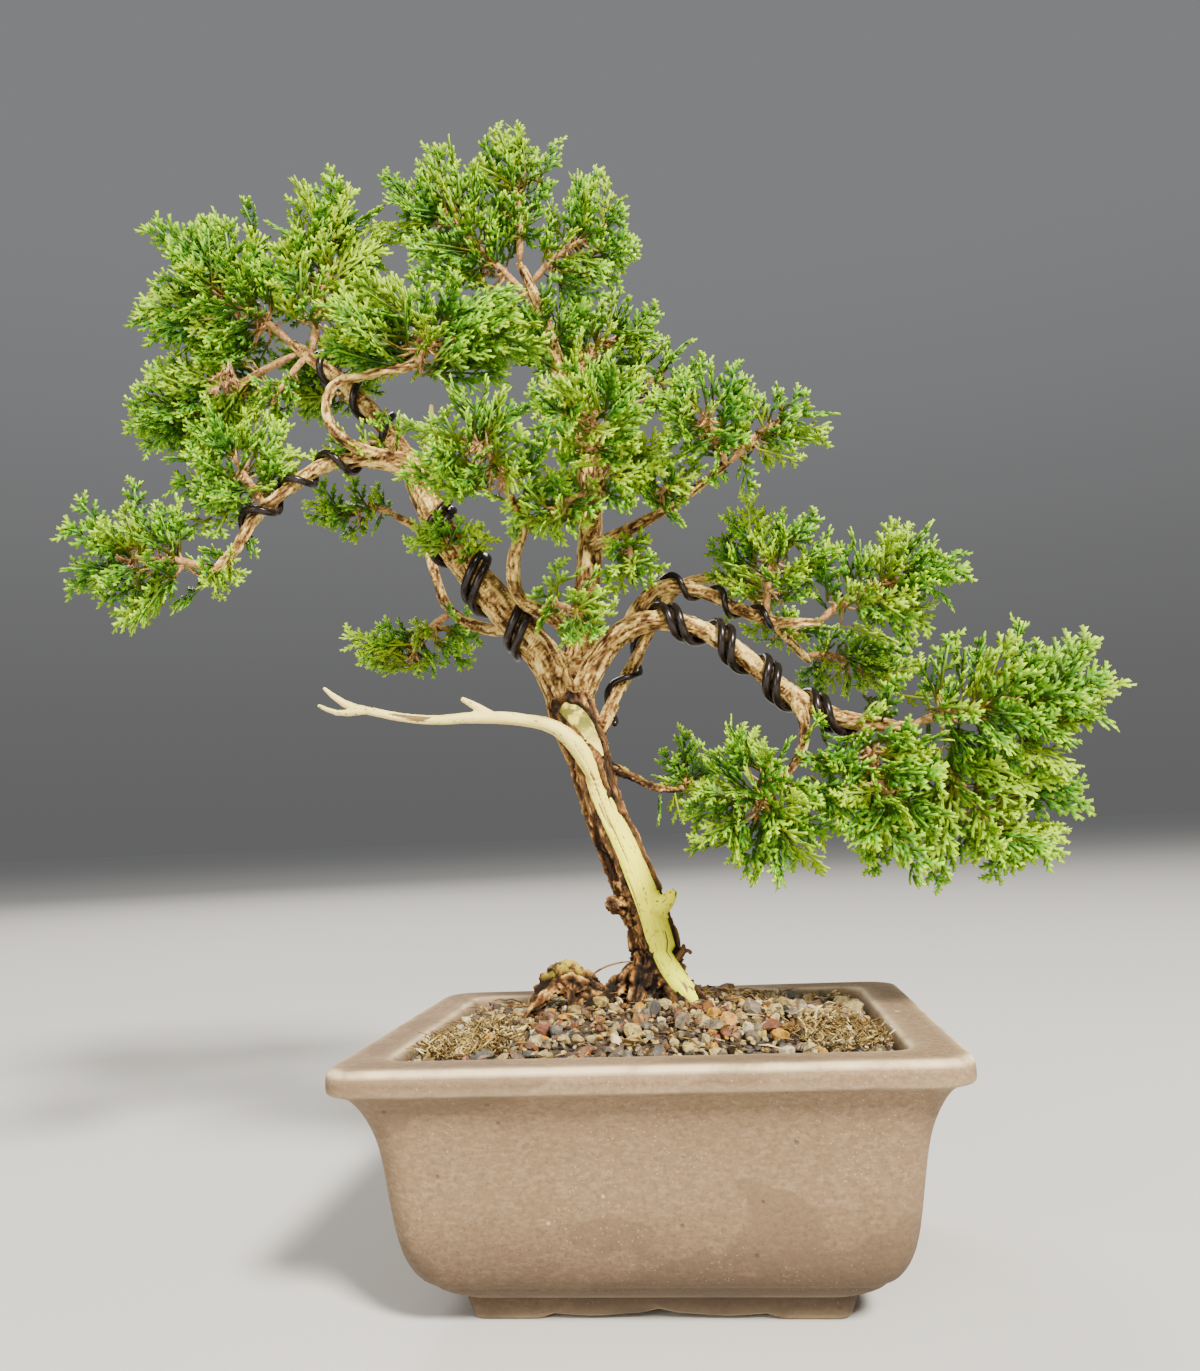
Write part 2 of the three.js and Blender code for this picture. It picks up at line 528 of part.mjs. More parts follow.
// A flat spray in one outline: a short stem, then a fan of pointed shoots parted by notches.
function frondOutline(length, lobes, seed) {
  const shape = new THREE.Shape();
  const { stem, fan, notch } = FROND;
  const fanStart = length * 0.3;
  const fanLength = length - fanStart;
  shape.moveTo(0, 0);
  shape.lineTo(fanStart * 0.7, -stem);
  for (let lobe = 0; lobe < lobes; lobe += 1) {
    const share = (2 * lobe) / (lobes - 1) - 1;
    const angle = share * fan;
    const reach = fanLength * (1 - 0.12 * share * share) * (0.88 + 0.24 * draw(seed + lobe));
    const back = fanStart * (1 - 0.5 * Math.abs(share));
    shape.lineTo(back + reach * Math.cos(angle), reach * Math.sin(angle));
    if (lobe < lobes - 1) {
      const between = angle + fan / (lobes - 1);
      shape.lineTo(back + reach * notch * Math.cos(between), reach * notch * Math.sin(between));
    }
  }
  shape.lineTo(fanStart * 0.7, stem);
  return shape;
}

function frondGeometry(length, lobes, seed, thick) {
  const outline = frondOutline(length, lobes, seed);
  const blade = new THREE.ExtrudeGeometry(outline, { depth: thick, bevelEnabled: false });
  blade.translate(0, 0, -thick / 2);
  const position = blade.attributes.position;
  for (let corner = 0; corner < position.count; corner += 1) {
    const x = position.getX(corner);
    const y = position.getY(corner);
    const arch = FROND.droop * (x * x * 0.8 + y * y * 1.6);
    position.setZ(corner, position.getZ(corner) - arch);
  }
  return blade;
}

// Where a frond of the pad sits: its foot on the twig, its outward direction and its length. The fronds
// follow each other along the twig by the golden angle, and few of them hang.
function frondPlace(pad, stations, number, tries) {
  const centre = new THREE.Vector3(...pad.at);
  const root = new THREE.Vector3(...pad.root);
  const size = new THREE.Vector3(...pad.size);
  const seed = pad.seed + number * 17;
  const share = (number + 0.5) / pad.fronds;
  const axis = centre.clone().sub(root).normalize();
  const across = new THREE.Vector3(0, 0, 1).cross(axis).normalize();
  const above = axis.clone().cross(across);
  const forward = THREE.MathUtils.lerp(PAD_BACK, PAD_FRONT, share);
  const ring = Math.sqrt(1 - forward * forward);
  const turn = number * GOLDEN_ANGLE + draw(seed) * 0.4 + tries * 0.35;
  const unit = axis.clone().multiplyScalar(forward);
  unit.addScaledVector(across, ring * Math.cos(turn));
  unit.addScaledVector(above, ring * Math.sin(turn));
  if (unit.z < 0) unit.z *= PAD_SAG;
  const shrink = tries < TURN_TRIES / 2 ? 1 : 1.3 - (0.6 * tries) / TURN_TRIES;
  const reach = FROND.reach * shrink * (0.94 + 0.1 * draw(seed + 3));
  const tip = unit.normalize().multiply(size).multiplyScalar(reach).add(centre);
  const along = THREE.MathUtils.lerp(0.35, 0.97, share);
  const foot = new THREE.Vector3();
  if (along < 0.5) foot.lerpVectors(stations[0], stations[1], along * 2);
  else foot.lerpVectors(stations[1], stations[2], along * 2 - 1);
  const outward = tip.clone().sub(foot);
  const length = outward.length();
  outward.normalize();
  const side = axis.clone().cross(outward);
  if (side.length() < 0.3) side.copy(across);
  side.normalize().applyAxisAngle(outward, (draw(seed + 9) - 0.5) * FROND.roll);
  const face = outward.clone().cross(side).normalize();
  const matrix = new THREE.Matrix4().makeBasis(outward, side, face).setPosition(foot);
  return { matrix, length, seed };
}

function frondSolid(pad, stations, number, tries, thick, grow) {
  const { matrix, length, seed } = frondPlace(pad, stations, number, tries);
  const lobes = pad.size[0] < SMALL_PAD ? 4 : 5;
  const blade = frondGeometry(length, lobes, seed, thick);
  blade.scale(grow, grow, 1);
  blade.applyMatrix4(matrix);
  return toSolid(blade);
}

function boxesMeet(a, b) {
  const first = a.boundingBox();
  const second = b.boundingBox();
  const axes = [0, 1, 2];
  return axes.every((axis) => first.min[axis] <= second.max[axis] && second.min[axis] <= first.max[axis]);
}

function crossing(candidate, others) {
  let shared = 0;
  for (const other of others) {
    if (boxesMeet(candidate, other)) shared += candidate.intersect(other).volume();
  }
  return shared;
}

// The twig from the branch to the middle of the pad bows round what stands in its way.
function clearTwig(pad, neighbours) {
  const root = new THREE.Vector3(...pad.root);
  const end = new THREE.Vector3(...pad.at);
  const across = new THREE.Vector3(0, 0, 1).cross(end.clone().sub(root)).normalize();
  let best = null;
  for (let tries = 0; tries < TWIG_TRIES; tries += 1) {
    const bow = TWIG.bow * (1 + Math.floor(tries / 8));
    const turn = (tries * Math.PI) / 4;
    const bend = new THREE.Vector3(0, 0, Math.cos(turn) * bow).addScaledVector(across, Math.sin(turn) * bow);
    const middle = root.clone().lerp(end, 0.5).add(bend);
    const route = [[...root, TWIG.rootRadius], [...middle, TWIG.middleRadius], [...end, TWIG.endRadius]];
    const shared = crossing(limbSolid({ route, sides: 3, steps: 2 }, GAP), neighbours);
    if (best === null || shared < best.shared) best = { route, shared };
    if (shared === 0) break;
  }
  return best.route;
}

// A pad is a twig with its fronds. A frond that would cross a neighbour is turned until it is clear.
function makePad(pad, woodCutter, neighbours) {
  const route = clearTwig(pad, neighbours);
  const twig = limbSolid({ route, sides: 3, steps: 2 });
  const stations = [0, 0.5, 1].map((along) => limbCurve(route).getPointAt(along));
  const kept = [twig];
  const blades = [];
  for (let number = 0; number < pad.fronds; number += 1) {
    let best = null;
    for (let tries = 0; tries < TURN_TRIES && (best === null || best.shared > 0); tries += 1) {
      const thick = FROND.thick + FROND_GUARD.thick;
      const guard = frondSolid(pad, stations, number, tries, thick, FROND_GUARD.grow);
      const outside = crossing(guard, [...neighbours, woodCutter]);
      const own = crossing(guard, blades);
      const shared = outside * FROND_GUARD.outsideWeight + own;
      if (best === null || shared < best.shared - 0.01) best = { tries, shared, outside };
      if (outside === 0 && own < FROND_GUARD.overlap) break;
    }
    if (best.outside > 0) continue;
    const blade = frondSolid(pad, stations, number, best.tries, FROND.thick, 1);
    kept.push(blade);
    blades.push(blade);
  }
  return mainBody(Manifold.union(kept).subtract(woodCutter));
}

const woodCutter = limbsSolid(LIMBS, GAP).add(ballSolid(KNOB, GAP));
const deadwood = mainBody(limbsSolid(DEADWOOD));
const wood = mainBody(limbsSolid(LIMBS).add(ballSolid(KNOB)).subtract(deadwoodCutter()));
const allWoodCutter = woodCutter.add(limbsSolid(DEADWOOD, GAP));
const screens = [-1, 1].map(makeScreen);

addPart('pot', makePot(), 'clay');
addPart('drain_screen_left', screens[0], 'screen');
addPart('drain_screen_right', screens[1], 'screen');
addPart('soil', makeSoil(allWoodCutter, [-1, 1].map(screenRecess)), 'grit');
addPart('live_wood', wood, 'bark');
addPart('deadwood', deadwood, 'deadwood');

const neighbours = [];
for (const [name, winding] of Object.entries(WIRES)) {
  const strands = windingStrands(winding, allWoodCutter);
  strands.forEach((strand, order) => {
    addPart(strands.length > 1 ? `${name}_${'ab'[order]}` : name, strand, 'wire');
    neighbours.push(strand);
  });
}

Object.entries(PADS).forEach(([name, pad], order) => {
  const foliage = makePad({ ...pad, seed: (order + 1) * 101 }, allWoodCutter, neighbours);
  addPart(`foliage_${name}`, foliage, 'foliage');
  neighbours.push(foliage);
});

const box = new THREE.Box3().setFromObject(group);
const centre = box.getCenter(new THREE.Vector3());
group.position.set(-centre.x, -centre.y, -box.min.z);
group.updateMatrixWorld(true);

export default group;
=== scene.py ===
import math
from bisect import bisect_right

import bmesh
import bpy
from mathutils import Matrix, Vector, kdtree, noise


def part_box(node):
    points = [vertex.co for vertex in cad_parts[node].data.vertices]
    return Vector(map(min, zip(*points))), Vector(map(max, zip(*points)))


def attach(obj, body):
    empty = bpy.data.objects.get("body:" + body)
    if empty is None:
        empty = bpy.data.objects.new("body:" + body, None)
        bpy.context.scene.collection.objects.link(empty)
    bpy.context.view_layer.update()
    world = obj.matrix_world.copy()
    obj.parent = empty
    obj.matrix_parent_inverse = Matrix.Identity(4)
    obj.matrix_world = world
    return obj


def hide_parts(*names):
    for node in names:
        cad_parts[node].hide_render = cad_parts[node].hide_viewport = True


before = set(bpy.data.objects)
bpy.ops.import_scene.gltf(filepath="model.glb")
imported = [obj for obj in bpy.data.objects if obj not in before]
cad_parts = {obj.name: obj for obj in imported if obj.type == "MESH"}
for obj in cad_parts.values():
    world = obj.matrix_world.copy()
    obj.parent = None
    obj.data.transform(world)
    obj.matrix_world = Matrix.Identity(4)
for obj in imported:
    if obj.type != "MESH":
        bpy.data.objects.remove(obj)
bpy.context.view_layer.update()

# The tree and its pot are laid out in millimetres about the pot's middle, and moved to the model's frame.
MM = 0.001
pot_low, pot_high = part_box("pot")
POT_MIDDLE = (pot_low.x + pot_high.x) / 2
TO_FRAME = Matrix.Translation((POT_MIDDLE, 0, 0)) @ Matrix.Scale(MM, 4)
GOLDEN_ANGLE = math.pi * (3 - math.sqrt(5))
UP = Vector((0, 0, 1))

# Pot: half width, height, corner radius and wear of each ring, the wear on the rim's top edge also a painted
# highlight. Half its depth is less by the first value.
NARROWER = 10
POT_RINGS = [
    (0, 6, 8, 0), (30, 6, 8, 0), (50.6, 6, 8, 0), (52.6, 6.1, 8.2, 0.3), (54, 6.8, 8.3, 0.3),
    (57.4, 8.8, 8.5, 0), (58.8, 10, 8.8, 0), (59.3, 10.9, 9, 0), (60, 11.4, 9, 0), (61.2, 12.1, 9, 0),
    (62.3, 13.4, 9.2, 0), (63.8, 15.8, 9.4, 0), (65, 18.6, 9.5, 0), (66.1, 22.5, 9.5, 0),
    (67.1, 27.8, 9.5, 0), (68.1, 35, 9.5, 0), (69, 42, 9.5, 0), (70, 47.5, 9.5, 0), (71.3, 51.9, 9.5, 0),
    (72.8, 55.6, 9.3, 0), (74.3, 58.5, 9, 0), (75.6, 60.3, 8.8, 0), (77, 61.5, 8.6, 0),
    (78.8, 62.2, 8.5, 0.1), (79.7, 62.6, 8.5, 0.3), (80, 63.3, 8.5, 0.1), (80.05, 65, 8.5, 0),
    (80, 66.9, 8.5, 0.1), (79.7, 67.9, 8.5, 1), (79, 68.6, 8.5, 0.9), (78, 68.95, 8.4, 0.2), (76, 69, 8, 0),
    (71, 69, 7.2, 0), (68, 69, 6.6, 0.1), (66.6, 68.7, 6.3, 0.6), (65.8, 68, 6.1, 0.2), (65.4, 66.8, 6, 0),
    (64.8, 60, 6, 0), (63.8, 50, 6, 0), (60, 27, 6, 0), (53.5, 14, 6, 0), (51, 12.6, 6, 0),
    (30, 12.5, 6, 0), (0, 12.5, 6, 0),
]
FOOT_RINGS = [
    (50.9, 7.4, 3.6, 0), (50.3, 4.6, 3.6, 0), (49.4, 1.6, 3.5, 0.2), (49, 0.5, 3.5, 0.9), (48.2, 0, 3.2, 1),
    (43, 0, 1.9, 0.6), (42.3, 0.5, 1.8, 0.3), (42.2, 4, 1.8, 0), (42.8, 7.4, 1.8, 0),
]
FOOT_NARROWER = 8.5
CORNER_STEPS = 8
SIDE_STEPS = 20

# The foot's cut-outs: their share of a side, their heights, and where their curve starts, dips and peaks.
NOTCH = {"share": 0.62, "rise": 1.5, "peak": 2.6, "edge": 0.92, "dip": 0.45, "dip_from": 0.95, "point": 0.16}

# Hand-made unevenness of the pot's wall: how far it goes and how often, broad and fine.
POT_WOBBLES = [(0.35, 0.02, (0, 0, 0)), (0.1, 0.09, (5, 1, 2))]
DRAIN_X = 24
DRAIN_RADIUS = 6
DRILL = {"length": 30, "middle": 9, "sides": 32}

# Soil: the height at the pot's wall and of the mound at the trunk, and the rings down to the pot's floor.
SOIL_EDGE = 66.4
SOIL_MOUND = 8
SOIL_REACH = (64, 55)
SOIL_FALL = 1.2
SOIL_HALF = (63.8, 53.8)
SOIL_CORNER = 5.6
SOIL_WALL = [(63.2, 50), (59.4, 27), (51.2, 14)]
SOIL_BED = {"tuck": 0.8, "under": 1.2, "rough": 0.8, "columns": 64, "rows": 54}

# Grit: spacing, smallest and largest half size and share kept, from the coarse stones to the fine.
STONE_SIZES = [(10.5, 2.6, 3.7, 0.6), (5, 1.5, 2.5, 0.92), (2.9, 0.7, 1.3, 0.95)]
STONE_TONES = {
    "tan": 0.03, "brown": 0.22, "sand": 0.42, "ochre": 0.51, "grey": 0.6, "slate": 0.68, "red": 0.74,
    "cream": 0.8, "rust": 0.86, "white": 0.92,
}
STONE = {"breaks": 7, "break_at": 0.5, "dent": 0.3, "tilt": 1.4, "fine_below": 1.4, "fine_kinds": 8,
         "coarse_kinds": 10, "jitter": 0.9}
TRUNK_HOLE = {"y": 3, "radius": 6}
PLACED_STONES = [
    (21.7, 29.8, 4.7, "rust"), (31, 33, 4.3, "brown"), (15, 24, 3.6, "brown"), (40, 24, 4.4, "slate"),
    (-1.8, 17.6, 3.6, "red"), (21, -26, 3.4, "ochre"), (17, -21, 2.8, "ochre"), (-49.6, -8, 2.7, "ochre"),
    (-16, -46, 3.2, "rust"), (36, -46, 3.2, "white"), (-59, -8, 3, "white"), (-23.3, -12, 4.2, "tan"),
    (1, -19, 3.6, "slate"), (9, -30, 3.2, "grey"), (-14.9, 14, 4.6, "rust"), (-9, -34, 3.3, "tan"),
    (28, -12, 3.4, "grey"), (38, -6, 3.2, "slate"), (-38, -20, 3.1, "grey"), (33, -28, 2.9, "red"),
    (-30, -36, 2.8, "cream"), (12, -43, 2.8, "sand"), (48, 6, 3.5, "brown"), (-40, 16, 3.6, "tan"),
]

# Dry moss: the middle of each patch, its half sizes and its number of stems.
MOSS_PATCHES = [(-50, -30, 15, 20, 560), (52, -30, 12, 20, 460)]
MOSS_HALF = (61.5, 51.5)
STRAW_COUNT = 380
STRAW_SPREAD = 0.93

# Single fibres and a dead twig: x, y, z and radius along each, and its tone.
FIBRES = {
    "hair_root": ([(-22, -2, 80, 0.35), (-15, -3, 84.5, 0.3), (-8, -4, 86.2, 0.25),
                   (-5.5, -4, 86, 0.2)], 0.3),
    "curled_fibre": ([(47, -22, 68, 0.5), (45.6, -22, 71, 0.45), (46.2, -23, 74, 0.35),
                      (47.8, -23, 75, 0.25)], 0.97),
    "dead_twig": ([(7, -1, 86, 1.2), (9, -1, 88.4, 1), (9.4, -1, 90.6, 0.5)], 0.12),
    "dead_fork": ([(8.8, -1, 88, 0.7), (10.4, -1, 88.6, 0.6), (11.6, -1.6, 87.8, 0.7)], 0.12),
}

# Wood: x, y, z and radius along the middle of each limb.
LIMBS = {
    "trunk": [(0, 3, 56, 8.5), (0, 3, 76, 9), (0.5, 3, 89, 7.6), (-2.4, 3, 101, 7.3), (-6.8, 2, 114, 6.8),
              (-13, 1, 131, 6.4), (-17, 0, 148, 6.6), (-21, 0, 160, 7.6), (-23, 0, 171, 7.2)],
    "left": [(-21, 0, 160, 6.2), (-29, -2, 179, 5.6), (-46, -5, 201, 5.1), (-60, -7, 221, 4.8),
             (-69, -8, 244, 4.6)],
    "leftBranch": [(-67, -8, 240, 3.4), (-77, -12, 244, 2.8), (-90, -15, 244, 2.4), (-98, -17, 241, 2.2),
                   (-106, -20, 234, 2), (-116, -22, 225, 1.9), (-120, -24, 216, 1.8), (-127, -26, 208, 1.5)],
    "upperLeft": [(-69, -8, 240, 4), (-76, -6, 254, 3), (-93, -2, 275, 2.5), (-103, 0, 284, 2.2),
                  (-112, 0, 292, 1.8)],
    "liveLoop": [(-69, -9, 244, 2.4), (-86, -19, 248, 1.9), (-92, -22, 256, 1.7), (-90, -22, 266, 1.6),
                 (-79, -21, 269, 1.5), (-63, -20, 271, 1.3)],
    "leader": [(-22, 0, 165, 6), (-19, 3, 184, 4.6), (-15, 7, 214, 4), (-15, 8, 245, 3.4), (-21, 8, 271, 2.6),
               (-28, 6, 298, 2), (-34, 3, 314, 1.4)],
    "right": [(-22, 0, 164, 5), (-13, -2, 178, 3.9), (-5, -4, 186, 3.5), (5, -5, 189, 3.2), (15, -6, 187, 3),
              (26, -8, 181, 2.9), (45, -12, 163, 2.8), (56, -14, 156, 2.6), (66, -16, 153, 2.2),
              (78, -18, 151, 1.7)],
    "rightFront": [(46, -13, 162, 2.2), (48, -20, 153, 1.8), (46, -25, 145, 1.5), (41, -28, 138, 1.2)],
    "upperRight": [(-4, -3, 184, 3), (2, 0, 196, 2.5), (9, 2, 201, 2.2), (20, 3, 199, 2.1), (31, 4, 193, 1.9),
                   (43, 5, 188, 1.7), (57, 6, 187, 1.4)],
    "backRight": [(-17, 3, 150, 2.6), (-8, 10, 169, 2), (-1, 14, 182, 2), (5, 18, 194, 2), (12, 22, 204, 1.9),
                  (23, 26, 208, 1.8), (36, 32, 203, 1.7), (46, 38, 191, 1.6), (56, 43, 180, 1.3)],
    "lowRight": [(-15, 3, 147, 2), (-5, 10, 142, 1.6), (3, 15, 138, 1.3), (11, 19, 137, 1.1)],
    "lowLeft": [(-38, -3, 190, 2.6), (-50, 8, 192, 2), (-63, 14, 200, 1.8), (-69, 18, 213, 1.6),
                (-74, 21, 229, 1.4), (-86, 24, 238, 1.2)],
    "frontMid": [(-15, 7, 222, 2.8), (-11, -10, 224, 2), (-8, -24, 225, 1.6), (-7, -36, 229, 1.2)],
    "frontRight": [(-15, 6, 216, 2.6), (-2, -8, 217, 1.9), (9, -18, 219, 1.7), (19, -25, 223, 1.5),
                   (31, -25, 231, 1.1)],
    "frontLeft": [(-19, 3, 187, 2.8), (-27, -9, 192, 2.3), (-35, -15, 197, 2.2), (-35, -20, 209, 2),
                  (-31, -24, 216, 1.7), (-34, -32, 224, 1.2)],
    "backHigh": [(-23, 8, 278, 2.2), (-26, 24, 288, 1.7), (-28, 38, 298, 1.2)],
    "backMid": [(-15, 8, 236, 2.6), (-13, 26, 243, 2), (-12, 40, 252, 1.4)],
    "backLeft": [(-88, -3, 269, 2.4), (-98, 12, 277, 1.8), (-105, 28, 287, 1.3)],
    "rootLeft": [(-2, 2, 84, 5), (-10, 0, 77, 4.4), (-17, -3, 72, 3.4), (-25, -6, 66, 1.6)],
    "rootRight": [(1, 1, 86, 4.8), (8, -4, 78, 4), (15, -8, 73, 3), (23, -12, 66, 1.4)],
    "rootBack": [(1, 5, 84, 5), (5, 14, 76, 3.6), (9, 24, 67, 1.6)],
    "oldRoot": [(-9, 1, 72, 3.4), (-16.6, 0, 75.6, 3.6), (-23.5, -2, 81.5, 3.8), (-29, -5, 83, 3.4),
                (-33, -8, 79, 2.8), (-35, -10, 68, 1.8)],
    "knob": [(-9, -1, 102, 2.4), (-11, -3, 103, 2.5), (-12.2, -4.8, 104, 1.6)],
    "rootKnot": [(-21, -4, 78, 2.6), (-26, -5, 80.6, 3.5), (-31, -7, 79, 2.6)],
    "rootMass": [(-12, -3, 71, 3.8), (-19, -5, 72.5, 4), (-27, -7, 72, 3.2)],
    "rootThinLeft": [(-29, -7, 80, 1.6), (-35, -12, 74.5, 1.2), (-41, -16, 68.5, 0.8)],
    "rootThinFront": [(-24, -6, 79, 1.4), (-24, -13, 74, 1.1), (-27, -19, 69.5, 0.8)],
    "rootFront": [(-3, -3, 84, 3.4), (-5, -8, 76, 2.8), (-8, -14, 70.5, 1.4)],
    "rootMiddle": [(5, -4, 79, 2.8), (8, -10, 75, 2.3), (9, -15, 69.5, 1.5)],
}
ROUGH_LIMBS = ("trunk", "rootLeft", "rootRight", "rootBack", "oldRoot", "knob", "rootKnot", "rootMass",
               "rootThinLeft", "rootThinFront", "rootFront", "rootMiddle")
DARK_LIMBS = (*ROUGH_LIMBS, "lowRight")
MOSSY_LIMBS = ("oldRoot", "rootKnot", "lowRight")
GNARLED_ROOTS = ("oldRoot", "rootKnot", "rootMass", "rootLeft", "rootRight", "rootFront", "rootMiddle")
STRIPPED_LIMBS = (*ROUGH_LIMBS, "left", "right", "leader")
WOOD_VOXEL = 0.67
SKIN_ROUNDS = 2

# Bark: how closely its plates and cracks follow each other, and how far each kind of relief goes.
OLD_BARK = {"plates": 0.42, "cracks": 0.5, "flake": 0.8, "fibre": 0.34, "swell": 0.7, "crack": 0.75}
SMOOTH_BARK = {"plates": 0.7, "cracks": 0.62, "flake": 0.34, "fibre": 0.15, "swell": 0.25, "crack": 0.3}
GRAIN_DRAWN_OUT = 0.13

# Heights where the trunk's young bark begins, and where moss takes hold on old roots and the bare patch.
YOUNG_BARK_FROM = 168
ROOT_MOSS_FROM = (82, 84.5)
PATCH_MOSS_FROM = (150, 159)

# Deadwood: the stripped branch, its forks, and the bare strip down the front of the trunk.
DEADWOOD = {
    "jin": [(-15, -5, 141, 2.4), (-19, -7, 150, 2.9), (-26, -9, 157, 2.3), (-37, -11, 160, 2),
            (-50, -12, 161, 1.8), (-64, -12, 161, 1.4), (-80, -11, 164, 1.3), (-92, -10, 168, 1.1),
            (-98, -11, 173, 0.7)],
    "jinFork": [(-83, -11, 165, 1.1), (-94, -10, 165, 0.9), (-101, -8, 168, 0.6)],
    "jinStub": [(-43, -11, 160, 1.5), (-49, -12, 164, 1.3), (-54, -13, 167, 0.9)],
    "strip": [(-17.4, -4, 146.5, 1.8), (-15.6, -3.8, 141, 2.8), (-12.2, -3.2, 132, 3.2),
              (-7.4, -2.8, 122, 3.8), (-2.8, -2.4, 110, 4.2), (1, -2.4, 98, 4.4), (3.2, -2.8, 90, 4.4),
              (8, -4.6, 80, 3.8), (12.5, -7.4, 73, 2.2)],
    "upperPatch": [(-24, -5.4, 163.6, 2.6), (-19.6, -6, 160.2, 3.3), (-15.6, -5.6, 155, 2.5),
                   (-12, -4.8, 148, 0.9)],
    "stub": [(2, -2, 101, 3), (6, -4, 104.5, 2.2), (7.6, -4.6, 107, 1.2)],
    "cutStub": [(-65, -9, 244, 1.6), (-61.4, -13, 252, 1.1), (-60.8, -14, 260.5, 0.95)],
}
DEADWOOD_VOXEL = 0.46

# The bark opens over the strip in a groove with a proud lip, and the strip lies a little under the bark.
GROOVE = {"shift": 3, "depth": 1.5, "lip": 0.75, "lip_width": 1.7, "ragged": 0.9}
STRIP_PARTS = ("strip", "upperPatch")
STRIP_LEVEL = -0.3
STRIP_BULGE = 0.22

# Training wire: the limb it winds, where along it, how many turns, where it starts, radius and strands.
WIRES = {
    "wire_left_limb": ("left", 0.272, 0.812, 2.6, 0.733, 1.4, 2),
    "wire_left_branch": ("leftBranch", 0.196, 0.816, 3.4, 0.267, 1.2, 1),
    "wire_upper_left": ("upperLeft", 0.112, 0.892, 3, 0.458, 1.2, 1),
    "wire_right_limb": ("right", 0.296, 0.866, 4, 0.533, 1.3, 2),
    "wire_upper_right": ("upperRight", 0.22, 0.8, 3, 0.217, 1, 1),
    "wire_back_right": ("backRight", 0.092, 0.612, 3.4, 0.225, 1, 1),
}
WIRE_SIDES = 12
WIRE_KNOTS_PER_TURN = 8
WIRE_STEPS_PER_TURN = 22
WIRE_GAP = 0.2
STRAND_SLACK = 1

# Foliage: the twig's root on its branch, the middle of the spray and its half sizes.
PADS = {
    "crown_left": ((-29, 6, 300), (-57, 0, 331), (20, 13, 21)),
    "crown_top": ((-34, 3, 313.5), (-34, 0, 340), (11, 11, 21)),
    "crown_right": ((-31, 5, 307), (-11, 5, 322), (16, 14, 19)),
    "upper_left_outer": ((-111, 0, 291), (-136, 0, 311), (22, 17, 25)),
    "upper_left_inner": ((-105, 0, 286), (-98, 2, 320), (20, 17, 25)),
    "left_under": ((-109, 0, 288), (-150, 12, 274), (23, 16, 17)),
    "left_hanging": ((-106, 0, 287), (-116, -7, 268), (9, 8, 8)),
    "left_drop": ((-112, -21, 228), (-121, -22, 243), (18, 14, 17)),
    "left_fork": ((-74, -7, 250), (-88, -13, 249), (11, 9, 8)),
    "far_left": ((-126, -26, 209), (-152, -28, 213), (18.5, 16, 18.5)),
    "far_left_inner": ((-121, -24, 215), (-126, -27, 209), (8, 7, 9)),
    "upper_middle": ((-64, -20, 271), (-60, -18, 284), (32, 17, 16)),
    "upper_right_middle": ((-20, 8, 272), (-7, 15, 290), (18, 15, 15)),
    "right_shoulder": ((-15, 8, 252), (9, 22, 279), (16, 14, 11)),
    "front_left": ((-34, -31, 223), (-40, -43, 236), (20, 15, 16)),
    "front_middle": ((-7, -35, 229), (-7, -47, 242), (16, 16, 17)),
    "front_lower": ((-8, -24, 225), (-20, -36, 218), (13, 11, 9)),
    "front_right": ((30, -25, 230), (24, -34, 243), (15, 14, 15)),
    "right_tip": ((31, -25, 231), (45, -22, 243), (16, 12, 12)),
    "centre_right": ((9, -18, 219), (13, -28, 226), (11, 9, 8)),
    "left_collar": ((-50, -6, 206), (-57, -20, 217.5), (14, 8, 5)),
    "centre_drop": ((-29, -11, 193), (-17, -25, 190), (12, 8, 13)),
    "centre_side": ((-2, -8, 216.5), (0, -18, 205), (9, 8, 9)),
    "right_upper_inner": ((40, 5, 189), (43, 4, 209), (19, 17, 16)),
    "right_upper_outer": ((56, 6, 187), (79, 8, 200), (22, 17, 17)),
    "right_back": ((54, 42, 182), (71, 47, 180), (20, 16, 12)),
    "right_back_inner": ((46, 38, 191), (49, 41, 192), (13, 11, 8)),
    "right_low_inner": ((42, -28, 139), (33, -30, 131), (20, 15, 22)),
    "right_low_middle": ((65, -16, 153), (68, -28, 133), (17, 16, 20)),
    "right_low_outer": ((77, -18, 151), (106, -16, 157), (25, 18, 21)),
    "right_low_under": ((72, -17, 152), (99, -12, 125), (23, 17, 16)),
    "low_back_twig": ((10, 19, 137), (12, 24, 143), (10, 8, 12)),
    "left_low_back": ((-63, 14, 199), (-77, 20, 189), (22, 12, 9)),
    "left_back_small": ((-85, 24, 238), (-100, 26, 241), (16, 11, 10)),
    "back_high": ((-28, 37, 297), (-28, 50, 308), (20, 14, 16)),
    "back_middle": ((-12, 39, 251), (-10, 52, 260), (20, 14, 15)),
    "back_left": ((-104, 27, 286), (-112, 40, 297), (20, 14, 15)),
}
SPRAY_LENGTHS = (11, 14, 17, 20, 23, 26)
SPRAYS_PER_LENGTH = 3
SPRAY_DENSITY = 0.0095
UPRIGHT_SHARE = 0.7
PAD_TWIG_RADII = (1.35, 1.1, 0.7)
SPRAY_TWIG_RADII = (0.6, 0.5, 0.4)

